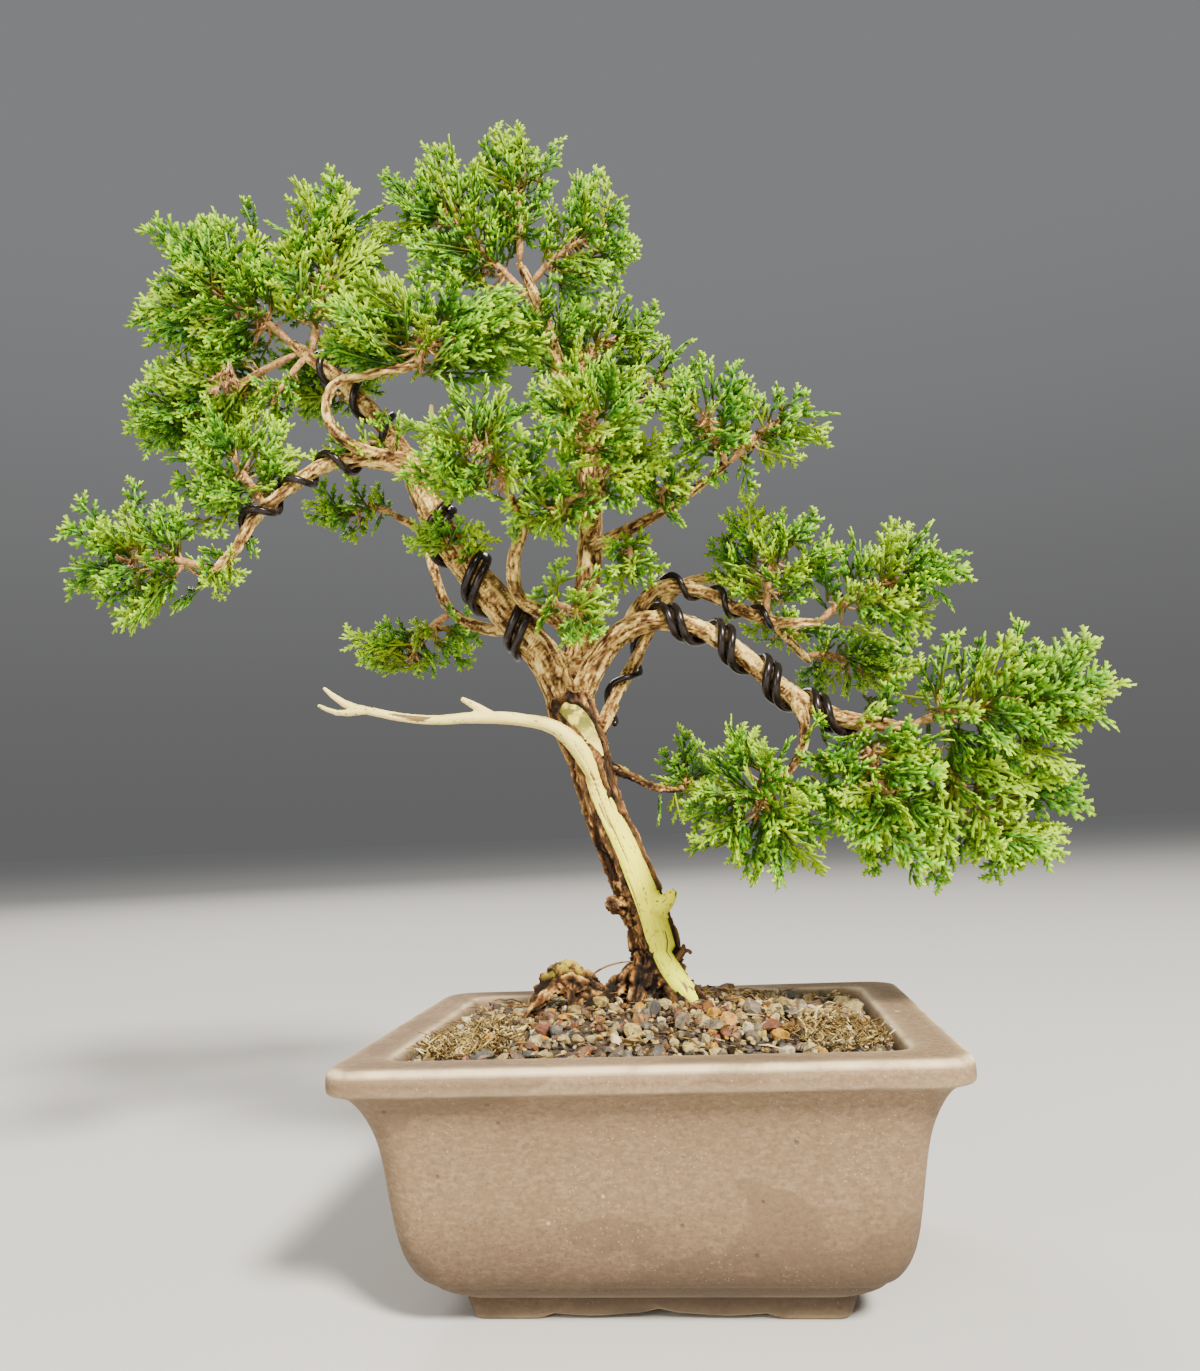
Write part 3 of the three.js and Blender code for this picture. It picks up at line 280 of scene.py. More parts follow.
# A sprig's outline: half width at each station, right and left, as a share of its widest.
SPRIG_TEETH = {
    "long": [(0.2, 0.2), (0.9, 0.24), (0.24, 1), (0.95, 0.24), (0.22, 0.84), (0.62, 0.2), (0.12, 0.12)],
    "short": [(0.24, 0.24), (1, 0.34), (0.32, 0.95), (0.14, 0.14)],
    "stem": [(0.34, 0.34), (0.3, 0.3), (0.24, 0.24)],
}
SPRIG = {"spacing": 2.2, "reach": 0.46, "angle": 0.72, "thick": 0.33, "sweep": 1.1, "tilt": 0.3, "roll": 0.9}
STEM_HALF_WIDTH = 1.5
LEADER_HALF_WIDTH = 1.4
TWIGLET = {"once_from": 6, "twice_from": 8.5, "shortest": 3, "angle": 0.66, "half_width": 1.3}

# Loose sprays outside the pads: where each one starts, where it heads and its length.
LOOSE_SPRAYS = [
    ((-24, 4, 283), (-0.7, -0.7, 1), 17), ((-20, 2, 272), (0.6, -0.9, 1), 17),
    ((-28, 4, 297), (0.5, -0.8, 0.6), 14), ((-17, 6, 262), (-0.6, -1, 0.5), 17),
    ((-16, 6, 254), (0.7, -1, 0.4), 17), ((-15, 6, 240), (-0.5, -1, 0.4), 20),
    ((74, -15, 119), (0.1, -0.2, -1), 14), ((81, -10, 118), (0.3, -0.1, -1), 14),
    ((68, -15, 119), (-0.4, -0.2, -1), 11), ((4, 16, 137), (-0.2, -0.3, -1), 11),
    ((8, 18, 137), (0.2, -0.2, -1), 11), ((84, 35, 166), (1, -0.3, -0.2), 17),
    ((72, 36, 167), (0.4, -0.6, -0.7), 17), ((78, 36, 170), (0.9, -0.2, 0.5), 17),
    ((46, -20, 147), (0.3, -0.6, 0.5), 14), ((54, -18, 147), (-0.3, -0.8, 0.6), 14),
    ((62, -18, 152), (0.4, -0.8, 0.4), 14), ((70, -18, 153), (0.2, -0.8, 0.7), 17),
    ((-160, -28, 222), (-0.6, -0.3, 0.9), 14), ((-150, -28, 224), (0, -0.4, 1), 14),
    ((-141, -28, 222), (0.6, -0.3, 0.9), 11), ((-123, -23, 229), (-0.2, -0.5, -1), 14),
    ((-128, -24, 226), (-0.7, -0.3, -0.4), 11), ((-118, -22, 222), (0.4, -0.3, -1), 11),
    ((-73, -12, 246), (0.2, -0.8, 0.6), 14), ((-71, -12, 242), (0.2, -0.7, -0.8), 14),
    ((-75, -15, 260), (-0.2, -0.6, -0.8), 11), ((-34, -24, 220), (0.1, -0.6, -1), 11),
    ((-66, 15, 194), (0.9, -0.3, -0.3), 14), ((-64, 14, 193), (0.7, -0.3, 0.5), 11),
    ((27, 8, 193), (0.1, -0.4, -1), 11), ((34, -24, 234), (0.1, -0.3, -1), 14),
    ((29, -24, 232), (-0.4, -0.4, -0.8), 11), ((-28, 5, 298), (-0.8, -1, -0.2), 20),
    ((-24, 6, 286), (0.7, -1, 0.3), 20), ((-22, 6, 276), (-0.8, -1, 0.2), 20),
    ((-19, 7, 266), (0.2, -1, 0.6), 20), ((-18, 7, 258), (-0.9, -0.9, 0.1), 20),
    ((-26, 6, 291), (0.1, -1, 0.3), 17), ((-10, -20, 225), (-1, -0.6, 0.3), 20),
    ((-10, -18, 224), (-0.8, -0.8, -0.5), 17), ((-8, -28, 227), (0.9, -0.5, 0.1), 20),
    ((-8, -26, 226), (0.7, -0.6, -0.6), 17), ((-34, -30, 222), (0.9, -0.5, 0.2), 20),
    ((-32, -26, 218), (0.8, -0.5, -0.5), 17), ((10, -20, 220), (-0.6, -0.7, 0.4), 17),
    ((10, -20, 220), (0.3, -0.8, -0.6), 14), ((46, -26, 143), (1, -0.3, -0.3), 20),
    ((48, -28, 138), (0.8, -0.4, -0.8), 20), ((60, -22, 140), (-0.9, -0.4, 0.2), 17),
    ((58, -24, 135), (-0.8, -0.5, -0.3), 17), ((62, -20, 150), (-0.5, -0.7, -0.5), 20),
    ((90, -16, 140), (0.3, -0.8, -0.2), 20), ((84, -18, 146), (-0.3, -0.8, -0.5), 20),
    ((-98, 0, 332), (0.1, -0.1, 1), 20), ((-60, 0, 340), (-0.1, 0, 1), 17),
    ((-27, 0, 338), (0.3, 0, 1), 20), ((-69, 0, 336), (-0.6, 0, 0.8), 17),
    ((-124, 0, 330), (-0.1, -0.1, 1), 14), ((-60, -10, 198), (0.5, -0.5, -0.6), 11),
]
DRY_SPRAYS = [((-130, -8, 284), (0.1, -0.1, -1)), ((-132, -7, 283), (-0.3, 0.1, -1)),
              ((-129, -9, 281), (0.3, -0.4, -0.8))]


# A repeatable number from 0 to 1 for each count, so that growth looks irregular but never changes.
def draw(count):
    wave = math.sin(count * 12.9898) * 43758.5453
    return wave - math.floor(wave)


def lerp(low, high, share):
    return low + (high - low) * share


def smooth(low, high, value):
    share = min(1, max(0, (value - low) / (high - low)))
    return share * share * (3 - 2 * share)


# One span of a smooth curve that passes through all of its knots without overshooting.
def span_point(knots, place):
    first = min(int(place), len(knots) - 2)
    weight = place - first
    p1, p2 = knots[first], knots[first + 1]
    p0 = knots[first - 1] if first > 0 else p1 * 2 - p2
    p3 = knots[first + 2] if first + 2 < len(knots) else p2 * 2 - p1
    d0, d1, d2 = [max(1e-4, math.sqrt((b - a).length)) for a, b in ((p0, p1), (p1, p2), (p2, p3))]
    m1 = ((p1 - p0) / d0 - (p2 - p0) / (d0 + d1) + (p2 - p1) / d1) * d1
    m2 = ((p2 - p1) / d1 - (p3 - p1) / (d1 + d2) + (p3 - p2) / d2) * d1
    c2 = (p2 - p1) * 3 - m1 * 2 - m2
    c3 = (p1 - p2) * 2 + m1 + m2
    return p1 + m1 * weight + c2 * weight ** 2 + c3 * weight ** 3


class Course:
    """The smooth middle line of a limb, with its radius and a frame that turns with it but never twists."""

    def __init__(self, route, stations=200):
        self.stations = stations
        self.knots = [Vector(knot[:3]) for knot in route]
        self.radii = [knot[3] for knot in route]
        last = len(route) - 1
        samples = [span_point(self.knots, last * i / stations) for i in range(stations + 1)]
        self.lengths = [0]
        for before, after in zip(samples, samples[1:]):
            self.lengths.append(self.lengths[-1] + (after - before).length)
        self.length = self.lengths[-1]
        self.points = [span_point(self.knots, self.place(i / stations)) for i in range(stations + 1)]
        self.set_frames()

    # The curve's own place, counted in knots, at a share of its length.
    def place(self, along):
        target = min(1, max(0, along)) * self.length
        index = min(bisect_right(self.lengths, target), self.stations) - 1
        step = self.lengths[index + 1] - self.lengths[index]
        share = (target - self.lengths[index]) / step if step else 0
        return (index + share) / self.stations * (len(self.knots) - 1)

    def set_frames(self):
        points = self.points
        self.tangents = []
        for i in range(len(points)):
            before, after = points[max(0, i - 1)], points[min(len(points) - 1, i + 1)]
            self.tangents.append((after - before).normalized())
        tangent = self.tangents[0]
        axis = min(range(3), key=lambda number: (abs(tangent[number]), -number))
        lead = Vector([1 if number == axis else 0 for number in range(3)])
        normal = tangent.cross(tangent.cross(lead).normalized())
        self.normals = [normal]
        for before, after in zip(self.tangents, self.tangents[1:]):
            normal = before.rotation_difference(after) @ normal
            self.normals.append(normal)
        self.binormals = [t.cross(n) for t, n in zip(self.tangents, self.normals)]

    def point(self, along):
        return span_point(self.knots, self.place(along))

    def radius(self, along):
        place = self.place(along)
        first = min(int(place), len(self.radii) - 2)
        return lerp(self.radii[first], self.radii[first + 1], place - first)

    def around(self, along, angle, reach):
        station = round(min(1, max(0, along)) * self.stations)
        offset = self.normals[station] * math.cos(angle) + self.binormals[station] * math.sin(angle)
        return self.point(along) + offset * reach


# A straight bar of unit size, cut into steps along Z. Returns its points.
def straight_bar(bm, sides, steps):
    count = len(bm.verts)
    bmesh.ops.create_cone(bm, cap_ends=True, segments=sides, radius1=1, radius2=1, depth=1)
    bm.verts.ensure_lookup_table()
    long_edges = {edge for vert in bm.verts[count:] for edge in vert.link_edges
                  if edge.other_vert(vert).co.z * vert.co.z < 0}
    if steps > 1:
        bmesh.ops.subdivide_edges(bm, edges=list(long_edges), cuts=steps - 1)
    bm.verts.ensure_lookup_table()
    return bm.verts[count:]


TUBE_END = 1e-4


# A round bar bent along a course. Its grain runs along it and is kept as an attribute for its material.
def add_tube(bm, course, sides, steps, blunt=0.5, kind=0.0):
    grain = bm.verts.layers.float_vector.get("grain") or bm.verts.layers.float_vector.new("grain")
    tone = bm.verts.layers.float.get("tone") or bm.verts.layers.float.new("tone")
    offset = course.knots[0].x + course.knots[0].z
    for vert in straight_bar(bm, sides, steps):
        along = vert.co.z + 0.5
        angle = math.atan2(vert.co.y, vert.co.x)
        radius = course.radius(along)
        if along < TUBE_END or along > 1 - TUBE_END:
            radius *= blunt
        vert[grain] = (math.cos(angle) * radius, math.sin(angle) * radius, along * course.length + offset)
        vert[tone] = kind
        vert.co = course.around(along, angle, radius)


# Keeps one value for each point of a mesh, for its material to read.
def store(mesh, name, values, kind="FLOAT"):
    layer = mesh.attributes.get(name) or mesh.attributes.new(name, kind, "POINT")
    layer.data.foreach_set("vector" if kind == "FLOAT_VECTOR" else "value", values)


def finished_object(name, mesh):
    thing = bpy.data.objects.new(name, mesh)
    bpy.context.scene.collection.objects.link(thing)
    return thing


# Turns a mesh in millimetres into a piece of the model that stands for the CAD nodes it replaces.
def add_piece(name, mesh, material, replaces=(), flat=False):
    mesh.transform(TO_FRAME)
    mesh.polygons.foreach_set("use_smooth", [not flat] * len(mesh.polygons))
    mesh.materials.clear()
    mesh.materials.append(material)
    piece = finished_object(name, mesh)
    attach(piece, "root")
    if replaces:
        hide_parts(*replaces)
    return piece


def to_mesh(bm, name):
    bmesh.ops.recalc_face_normals(bm, faces=bm.faces)
    mesh = bpy.data.meshes.new(name)
    bm.to_mesh(mesh)
    bm.free()
    return mesh


# Melts overlapping bars into one skin.
def melted(bm, name, voxel):
    rough = finished_object(name, to_mesh(bm, name))
    remesh = rough.modifiers.new("melt", "REMESH")
    remesh.mode = "VOXEL"
    remesh.voxel_size = voxel
    soften = rough.modifiers.new("soften", "SMOOTH")
    soften.factor = 0.5
    soften.iterations = SKIN_ROUNDS
    return finished_mesh(rough)


class WoodMap:
    """Finds the limb that a point of the melted skin belongs to, and its place along and around that limb."""

    SPOT_EVERY = 2
    NEAREST = 12

    def __init__(self, courses):
        self.spots = []
        for name, course in courses.items():
            for station in range(0, course.stations + 1, self.SPOT_EVERY):
                self.spots.append((name, course, station))
        self.tree = kdtree.KDTree(len(self.spots))
        for index, (name, course, station) in enumerate(self.spots):
            self.tree.insert(course.points[station], index)
        self.tree.balance()

    # The limb's name, the height over its skin, the grain's own coordinates and the way out of the limb.
    def find(self, point):
        best = None
        for _, index, distance in self.tree.find_n(point, self.NEAREST):
            name, course, station = self.spots[index]
            depth = distance - course.radius(station / course.stations)
            if best is None or depth < best[0]:
                best = (depth, name, course, station)
        depth, name, course, station = best
        offset = point - course.points[station]
        slip = offset.dot(course.tangents[station])
        across = (offset.dot(course.normals[station]), offset.dot(course.binormals[station]))
        along = station / course.stations * course.length + slip + course.knots[0].x + course.knots[0].z
        outward = (offset - course.tangents[station] * slip).normalized()
        return name, depth, Vector((across[0], across[1], along)), outward


# How far a point of the trunk lies outside the bare strip. What lies in front of the strip is opened too.
def strip_depth(point, strip_map):
    nearest = strip_map.find(point)[1]
    opened = strip_map.find(point + Vector((0, GROOVE["shift"], 0)))[1]
    return min(nearest, opened) + GROOVE["ragged"] * noise.noise(point * 0.4)


# Bark's relief and tone at a spot: long flaking strips parted by cracks over fine fibres.
def bark_at(spot, name, grain, moss):
    bark = OLD_BARK if name in ROUGH_LIMBS else SMOOTH_BARK
    flow = Vector((grain.x, grain.y, grain.z * GRAIN_DRAWN_OUT))
    flake = smooth(-0.05, 0.1, noise.fractal(flow * bark["plates"], 0.6, 2.1, 3))
    crack = smooth(0.1, 0, abs(noise.noise(flow * bark["cracks"] + Vector((3, 8, 1)))))
    fibres = noise.noise(Vector((grain.x * 2.3, grain.y * 2.3, grain.z * 0.3)))
    relief = bark["flake"] * (flake - 0.5) + bark["fibre"] * fibres
    relief += bark["swell"] * noise.noise(spot * 0.16) - bark["crack"] * crack
    relief += 0.7 * moss * noise.noise(spot * 1.1)
    tone = 0.34 + 0.42 * flake + 0.45 * fibres - 0.34 * crack
    if name in GNARLED_ROOTS:
        # Gnarled roots: ridges raise the relief and the tone follows them, a painted highlight on the ridges
        # and painted shade in the hollows.
        ridges = noise.noise(flow * 0.85) - smooth(0.18, 0, abs(noise.noise(spot * 0.2)))
        relief += 1.3 * ridges
        tone += 0.5 * ridges - 0.12
    return relief, tone


# Bark beside the bare strip: a proud lip, then a groove that leaves the strip open. Towards the strip the
# tone is painted darker, painted shade along the lip and in the groove.
def bark_by_strip(relief, tone, front):
    relief = relief * 0.5 + GROOVE["lip"] * smooth(GROOVE["lip_width"], 0.3, front)
    relief -= (GROOVE["depth"] + GROOVE["lip"]) * smooth(0.35, -0.6, front)
    return relief, tone * (0.5 + 0.5 * smooth(-0.2, 1.3, front))


def is_young(name, spot):
    if name == "trunk":
        return spot.z > YOUNG_BARK_FROM + 6 * noise.noise(spot * 0.3)
    return name not in DARK_LIMBS


# The whole part of the tone says that the bark is young, and what is left of it how pale it is.
def carve_bark(mesh, courses, strip_map):
    wood_map = WoodMap(courses)
    grains, tones, moved, mossy = [], [], [], []
    for vert in mesh.vertices:
        spot = vert.co
        name, _, grain, _ = wood_map.find(spot)
        moss = 0
        if name in MOSSY_LIMBS:
            moss = smooth(0.25, 0.85, vert.normal.z) * smooth(*ROOT_MOSS_FROM, spot.z)
        relief, tone = bark_at(spot, name, grain, moss)
        front = strip_depth(spot, strip_map) if name in STRIPPED_LIMBS else math.inf
        if front < GROOVE["lip_width"]:
            relief, tone = bark_by_strip(relief, tone, front)
        moved.append(spot + vert.normal * relief)
        grains.extend(grain)
        tones.append(min(0.99, max(0, tone)) + is_young(name, spot))
        mossy.append(moss)
    for vert, place in zip(mesh.vertices, moved):
        vert.co = place
    store(mesh, "moss", mossy)
    store(mesh, "grain", grains, "FLOAT_VECTOR")
    store(mesh, "tone", tones)


# Bare wood: fine fibres, long shallow checks, and a strip that lies level with the bark round it.
def carve_deadwood(mesh, courses, trunk_map):
    wood_map = WoodMap(courses)
    grains, tones, mossy = [], [], []
    for vert in mesh.vertices:
        name, _, grain, _ = wood_map.find(vert.co)
        mossy.append(smooth(*PATCH_MOSS_FROM, vert.co.z) if name == "upperPatch" else 0)
        fibres = noise.noise(Vector((grain.x * 1.5, grain.y * 1.5, grain.z * 0.1)))
        checks = noise.noise(Vector((grain.x * 0.8 + 7, grain.y * 0.8, grain.z * 0.05)))
        check = smooth(0.3, 0.45, checks)
        if name in STRIP_PARTS:
            _, proud, _, away = trunk_map.find(vert.co)
            proud -= STRIP_LEVEL
            if proud > 0:
                vert.co -= away * proud * (1 - STRIP_BULGE)
            vert.co += away * (0.14 * fibres - 0.3 * check)
        else:
            vert.co += vert.normal * (0.16 * fibres - 0.28 * check)
        grains.extend(grain)
        tones.append(0.6 + 0.4 * fibres - 0.5 * check)
    store(mesh, "moss", mossy)
    store(mesh, "grain", grains, "FLOAT_VECTOR")
    store(mesh, "tone", tones)


def limb_skin(courses, name, voxel):
    bm = bmesh.new()
    for course in courses.values():
        add_tube(bm, course, 16, max(4, round(course.length / 4)), blunt=0.8)
    return melted(bm, name, voxel)


def make_wood(materials):
    limb_courses = {name: Course(route) for name, route in LIMBS.items()}
    dead_courses = {name: Course(route) for name, route in DEADWOOD.items()}
    wood = limb_skin(limb_courses, "wood", WOOD_VOXEL)
    carve_bark(wood, limb_courses, WoodMap({name: dead_courses[name] for name in STRIP_PARTS}))
    add_piece("barked_wood", wood, materials["bark"], ["live_wood"])
    bare = limb_skin(dead_courses, "bare", DEADWOOD_VOXEL)
    carve_deadwood(bare, dead_courses, WoodMap({name: limb_courses[name] for name in ("trunk", "rootRight")}))
    add_piece("bare_wood", bare, materials["deadwood"], ["deadwood"])


# The place of one numbered point of a ring round a rounded rectangle.
def ring_place(number, half_width, half_depth, corner):
    per_quarter = CORNER_STEPS + SIDE_STEPS
    quarter, step = divmod(number, per_quarter)
    turn = quarter * math.pi / 2
    wide, deep = (half_width, half_depth) if quarter % 2 == 0 else (half_depth, half_width)
    if step <= CORNER_STEPS:
        angle = step / CORNER_STEPS * math.pi / 2
        x = wide - corner + corner * math.cos(angle)
        y = deep - corner + corner * math.sin(angle)
    else:
        share = (step - CORNER_STEPS) / SIDE_STEPS
        x = lerp(wide - corner, -(wide - corner), share)
        y = deep
    return x * math.cos(turn) - y * math.sin(turn), x * math.sin(turn) + y * math.cos(turn)


# Rings of a rounded rectangle drawn out one from the other. Wear marks the edges that get rubbed, and on the
# rim's top edge also a painted highlight.
def lofted(rings, narrower, shape=lambda x, y, z: z):
    bm = bmesh.new()
    wear_and_highlight = bm.verts.layers.float.new("wear_and_highlight")
    count = 4 * (CORNER_STEPS + SIDE_STEPS)
    verts = bmesh.ops.create_circle(bm, segments=count, radius=1)["verts"]
    first = verts
    for order, (half_width, z, corner, worn_and_lit) in enumerate(rings):
        if order:
            edges = [edge for edge in bm.edges if edge.verts[0] in ring_set and edge.verts[1] in ring_set]
            drawn = bmesh.ops.extrude_edge_only(bm, edges=edges)["geom"]
            fresh_and_lit = [item for item in drawn if isinstance(item, bmesh.types.BMVert)]
            near = {}
            for vert in fresh_and_lit:
                for edge in vert.link_edges:
                    other = edge.other_vert(vert)
                    if other in ring_set:
                        near[other] = vert
            verts = [near[vert] for vert in verts]
        ring_set = set(verts)
        for number, vert in enumerate(verts):
            if half_width == 0:
                vert.co = (0, 0, z)
            else:
                x, y = ring_place(number, half_width, half_width - narrower, corner)
                vert.co = (x, y, shape(x, y, z))
            vert[wear_and_highlight] = worn_and_lit
    return bm, first, verts


# Raises the foot's lower edge in the middle of each side: two low arches that meet in a point.
def notched(x, y, z):
    half_width, half_depth = FOOT_RINGS[0][0], FOOT_RINGS[0][0] - FOOT_NARROWER
    along, half = (x, half_width) if abs(y) / half_depth > abs(x) / half_width else (y, half_depth)
    away = abs(along) / (half * NOTCH["share"])
    if away >= 1 or z > NOTCH["peak"] + 1:
        return z
    dip = NOTCH["dip"] * math.sin(math.pi * smooth(NOTCH["point"], NOTCH["dip_from"], away))
    rise = NOTCH["rise"] * smooth(1, NOTCH["edge"], away) * (1 - dip)
    peak = (NOTCH["peak"] - NOTCH["rise"]) * max(0, 1 - away / NOTCH["point"])
    return max(z, rise + peak + z * 0.4)


# The shape that an object's modifiers give, as a mesh of its own.
def finished_mesh(thing):
    graph = bpy.context.evaluated_depsgraph_get()
    mesh = bpy.data.meshes.new_from_object(thing.evaluated_get(graph))
    bpy.data.objects.remove(thing)
    return mesh


# Drills a drain hole. The drill has to stay until the mesh is finished.
def drilled(rough, x):
    bm = bmesh.new()
    bmesh.ops.create_cone(bm, cap_ends=True, segments=DRILL["sides"], radius1=DRAIN_RADIUS,
                          radius2=DRAIN_RADIUS, depth=DRILL["length"])
    bmesh.ops.translate(bm, verts=bm.verts, vec=(x, 0, DRILL["middle"]))
    drill = finished_object("drill", to_mesh(bm, "drill"))
    hole = rough.modifiers.new("hole", "BOOLEAN")
    hole.operation = "DIFFERENCE"
    hole.object = drill
    return drill


def make_pot(materials):
    bm, first, last = lofted(POT_RINGS, NARROWER)
    bmesh.ops.pointmerge(bm, verts=first, merge_co=(0, 0, POT_RINGS[0][1]))
    bmesh.ops.pointmerge(bm, verts=last, merge_co=(0, 0, POT_RINGS[-1][1]))
    for vert in bm.verts:
        wobble = sum(far * noise.noise(vert.co * often + Vector(shift)) for far, often, shift in POT_WOBBLES)
        vert.co += Vector((vert.co.x, vert.co.y, 0)).normalized() * wobble
    rough = finished_object("rough_pot", to_mesh(bm, "rough_pot"))
    round_off = rough.modifiers.new("round", "SUBSURF")
    round_off.levels = 1
    drills = [drilled(rough, side * DRAIN_X) for side in (-1, 1)]
    bowl = finished_mesh(rough)
    for drill in drills:
        bpy.data.objects.remove(drill)

    foot, _, _ = lofted(FOOT_RINGS, FOOT_NARROWER, notched)
    bmesh.ops.bridge_loops(foot, edges=[edge for edge in foot.edges if edge.is_boundary])
    foot.from_mesh(bowl)
    add_piece("unglazed_pot", to_mesh(foot, "pot"), materials["clay"], ["pot"])


def soil_height(x, y):
    far = min(1, math.hypot(x / SOIL_REACH[0], y / SOIL_REACH[1]))
    return SOIL_EDGE + SOIL_MOUND * (1 - far * far) ** SOIL_FALL


# Draws a point of a rectangle in to its rounded corner.
def rounded_in(x, y, half_width, half_depth, corner):
    over_x, over_y = abs(x) - (half_width - corner), abs(y) - (half_depth - corner)
    reach = math.hypot(over_x, over_y)
    if over_x <= 0 or over_y <= 0 or reach <= corner:
        return x, y
    return (math.copysign(half_width - corner + over_x * corner / reach, x),
            math.copysign(half_depth - corner + over_y * corner / reach, y))


def make_soil(materials):
    bm = bmesh.new()
    half_width, half_depth = SOIL_HALF[0] + SOIL_BED["tuck"], SOIL_HALF[1] + SOIL_BED["tuck"]
    bmesh.ops.create_grid(bm, x_segments=SOIL_BED["columns"], y_segments=SOIL_BED["rows"], size=1)
    for vert in bm.verts:
        x, y = rounded_in(vert.co.x * half_width, vert.co.y * half_depth, half_width, half_depth, SOIL_CORNER)
        lumps = SOIL_BED["rough"] * noise.noise(Vector((x, y, 0)) * 0.3)
        vert.co = (x, y, soil_height(x, y) - SOIL_BED["under"] + lumps)
    for wide, z in SOIL_WALL:
        rim = [edge for edge in bm.edges if edge.is_boundary]
        for item in bmesh.ops.extrude_edge_only(bm, edges=rim)["geom"]:
            if isinstance(item, bmesh.types.BMVert):
                shrink_x, shrink_y = wide / half_width, (wide - NARROWER) / half_depth
                item.co = (item.co.x * shrink_x, item.co.y * shrink_y, z)
        half_width, half_depth = wide, wide - NARROWER
    bmesh.ops.holes_fill(bm, edges=[edge for edge in bm.edges if edge.is_boundary])
    add_piece("soil_bed", to_mesh(bm, "soil_bed"), materials["soil"], ["soil"])


# An angular pebble: a ball stretched, dented and cut by flat breaks.
def stone_mesh(seed, subdivisions):
    bm = bmesh.new()
    bmesh.ops.create_icosphere(bm, subdivisions=subdivisions, radius=1)
    stretch = Vector((1.2, 0.62 + 0.38 * draw(seed * 5 + 1), 0.5 + 0.35 * draw(seed * 5 + 2)))
    for vert in bm.verts:
        spot = vert.co * 1.3 + Vector((seed * 7.3, 0, 0))
        vert.co *= 1 + STONE["dent"] * noise.noise(spot)
        vert.co = Vector(vert.co[i] * stretch[i] for i in range(3))
    for number in range(STONE["breaks"]):
        key = seed * 17 + number * 3
        normal = Vector((draw(key) - 0.5, draw(key + 1) - 0.5, draw(key + 2) - 0.5)).normalized()
        for vert in bm.verts:
            over = vert.co.dot(normal) - STONE["break_at"]
            if over > 0:
                vert.co -= normal * over
    return to_mesh(bm, f"stone{seed}")


def set_tone(mesh, tone):
    store(mesh, "tone", [tone] * len(mesh.vertices))


# Adds a turned and placed copy of a template to a bmesh, in a tone of its own.
def add_copy(bm, template, place, tone):
    copy = template.copy()
    copy.transform(place)
    set_tone(copy, tone)
    bm.from_mesh(copy)
    bpy.data.meshes.remove(copy)


# A stone's own turn: any way round, and tipped a little.
def turned(seed):
    spin = Matrix.Rotation(draw(seed) * math.tau, 4, "Z")
    tip = Matrix.Rotation((draw(seed + 1) - 0.5) * STONE["tilt"], 4, "X")
    roll = Matrix.Rotation((draw(seed + 2) - 0.5) * STONE["tilt"], 4, "Y")
    return spin @ tip @ roll


# Coarse stones first, then the finer ones that fill the gaps between them: x, y, half size, tone and seed.
def stone_places():
    for number, (x, y, size, tone) in enumerate(PLACED_STONES):
        yield x, y, size, STONE_TONES[tone], number * 7 + 1
    for order, (spacing, low, high, share) in enumerate(STONE_SIZES):
        half_width, half_depth = SOIL_HALF[0] - low * 0.7, SOIL_HALF[1] - low * 0.7
        columns, rows = round(2 * half_width / spacing), round(2 * half_depth / spacing)
        for number in range(columns * rows):
            column, row = number % columns, number // columns
            seed = number * 11 + order * 5003 + 3
            x = half_width * (2 * (column + 0.5 + STONE["jitter"] * (draw(seed) - 0.5)) / columns - 1)
            y = half_depth * (2 * (row + 0.5 + STONE["jitter"] * (draw(seed + 1) - 0.5)) / rows - 1)
            if draw(seed + 3) < share and math.hypot(x, y - TRUNK_HOLE["y"]) > TRUNK_HOLE["radius"]:
                yield x, y, lerp(low, high, draw(seed + 2)), draw(seed + 8), seed


def make_stones(materials):
    fine = [stone_mesh(seed, 1) for seed in range(STONE["fine_kinds"])]
    coarse = [stone_mesh(seed + 20, 2) for seed in range(STONE["coarse_kinds"])]
    bm = bmesh.new()
    for x, y, size, tone, seed in stone_places():
        templates = fine if size < STONE["fine_below"] else coarse
        stone = templates[int(draw(seed + 9) * len(templates))]
        lift = size * lerp(-0.15, 0.5, draw(seed + 4))
        x, y = rounded_in(x, y, SOIL_HALF[0] - size, SOIL_HALF[1] - size, SOIL_CORNER)
        place = Matrix.Translation((x, y, soil_height(x, y) + lift))
        add_copy(bm, stone, place @ turned(seed + 5) @ Matrix.Scale(size, 4), tone)
    add_piece("grit_stones", to_mesh(bm, "stones"), materials["stone"], flat=True)


# A short bent bit of stem, root or straw lying on the soil.
def add_stem(bm, start, heading, climb, length, radius, curl, tone):
    ahead = Vector((math.cos(heading), math.sin(heading), climb)).normalized()
    side = ahead.cross(UP).normalized()
    middle = start + ahead * length * 0.5 + side * curl * length + UP * abs(curl) * length * 0.5
    finish = start + ahead * length + UP * curl * length * 0.4
    course = Course([(*start, radius), (*middle, radius), (*finish, radius * 0.7)], 8)
    add_tube(bm, course, 4, 2, kind=tone)


# Straw and broken stems strewn over the whole bed.
def add_straw(bm):
    for number in range(STRAW_COUNT):
        key = number * 17 + 5
        x = SOIL_HALF[0] * (2 * draw(key) - 1) * STRAW_SPREAD
        y = SOIL_HALF[1] * (2 * draw(key + 1) - 1) * STRAW_SPREAD
        start = Vector((x, y, soil_height(x, y) + 0.9 + 1.2 * draw(key + 2)))
        length = 0.9 * lerp(3, 9, draw(key + 3) ** 2)
        radius = lerp(0.16, 0.45, draw(key + 4) ** 2)
        climb, curl = 0.5 * (draw(key + 5) - 0.45), 0.7 * (draw(key + 6) - 0.5)
        add_stem(bm, start, math.tau * draw(key + 7), climb, length, radius, curl, draw(key + 8))


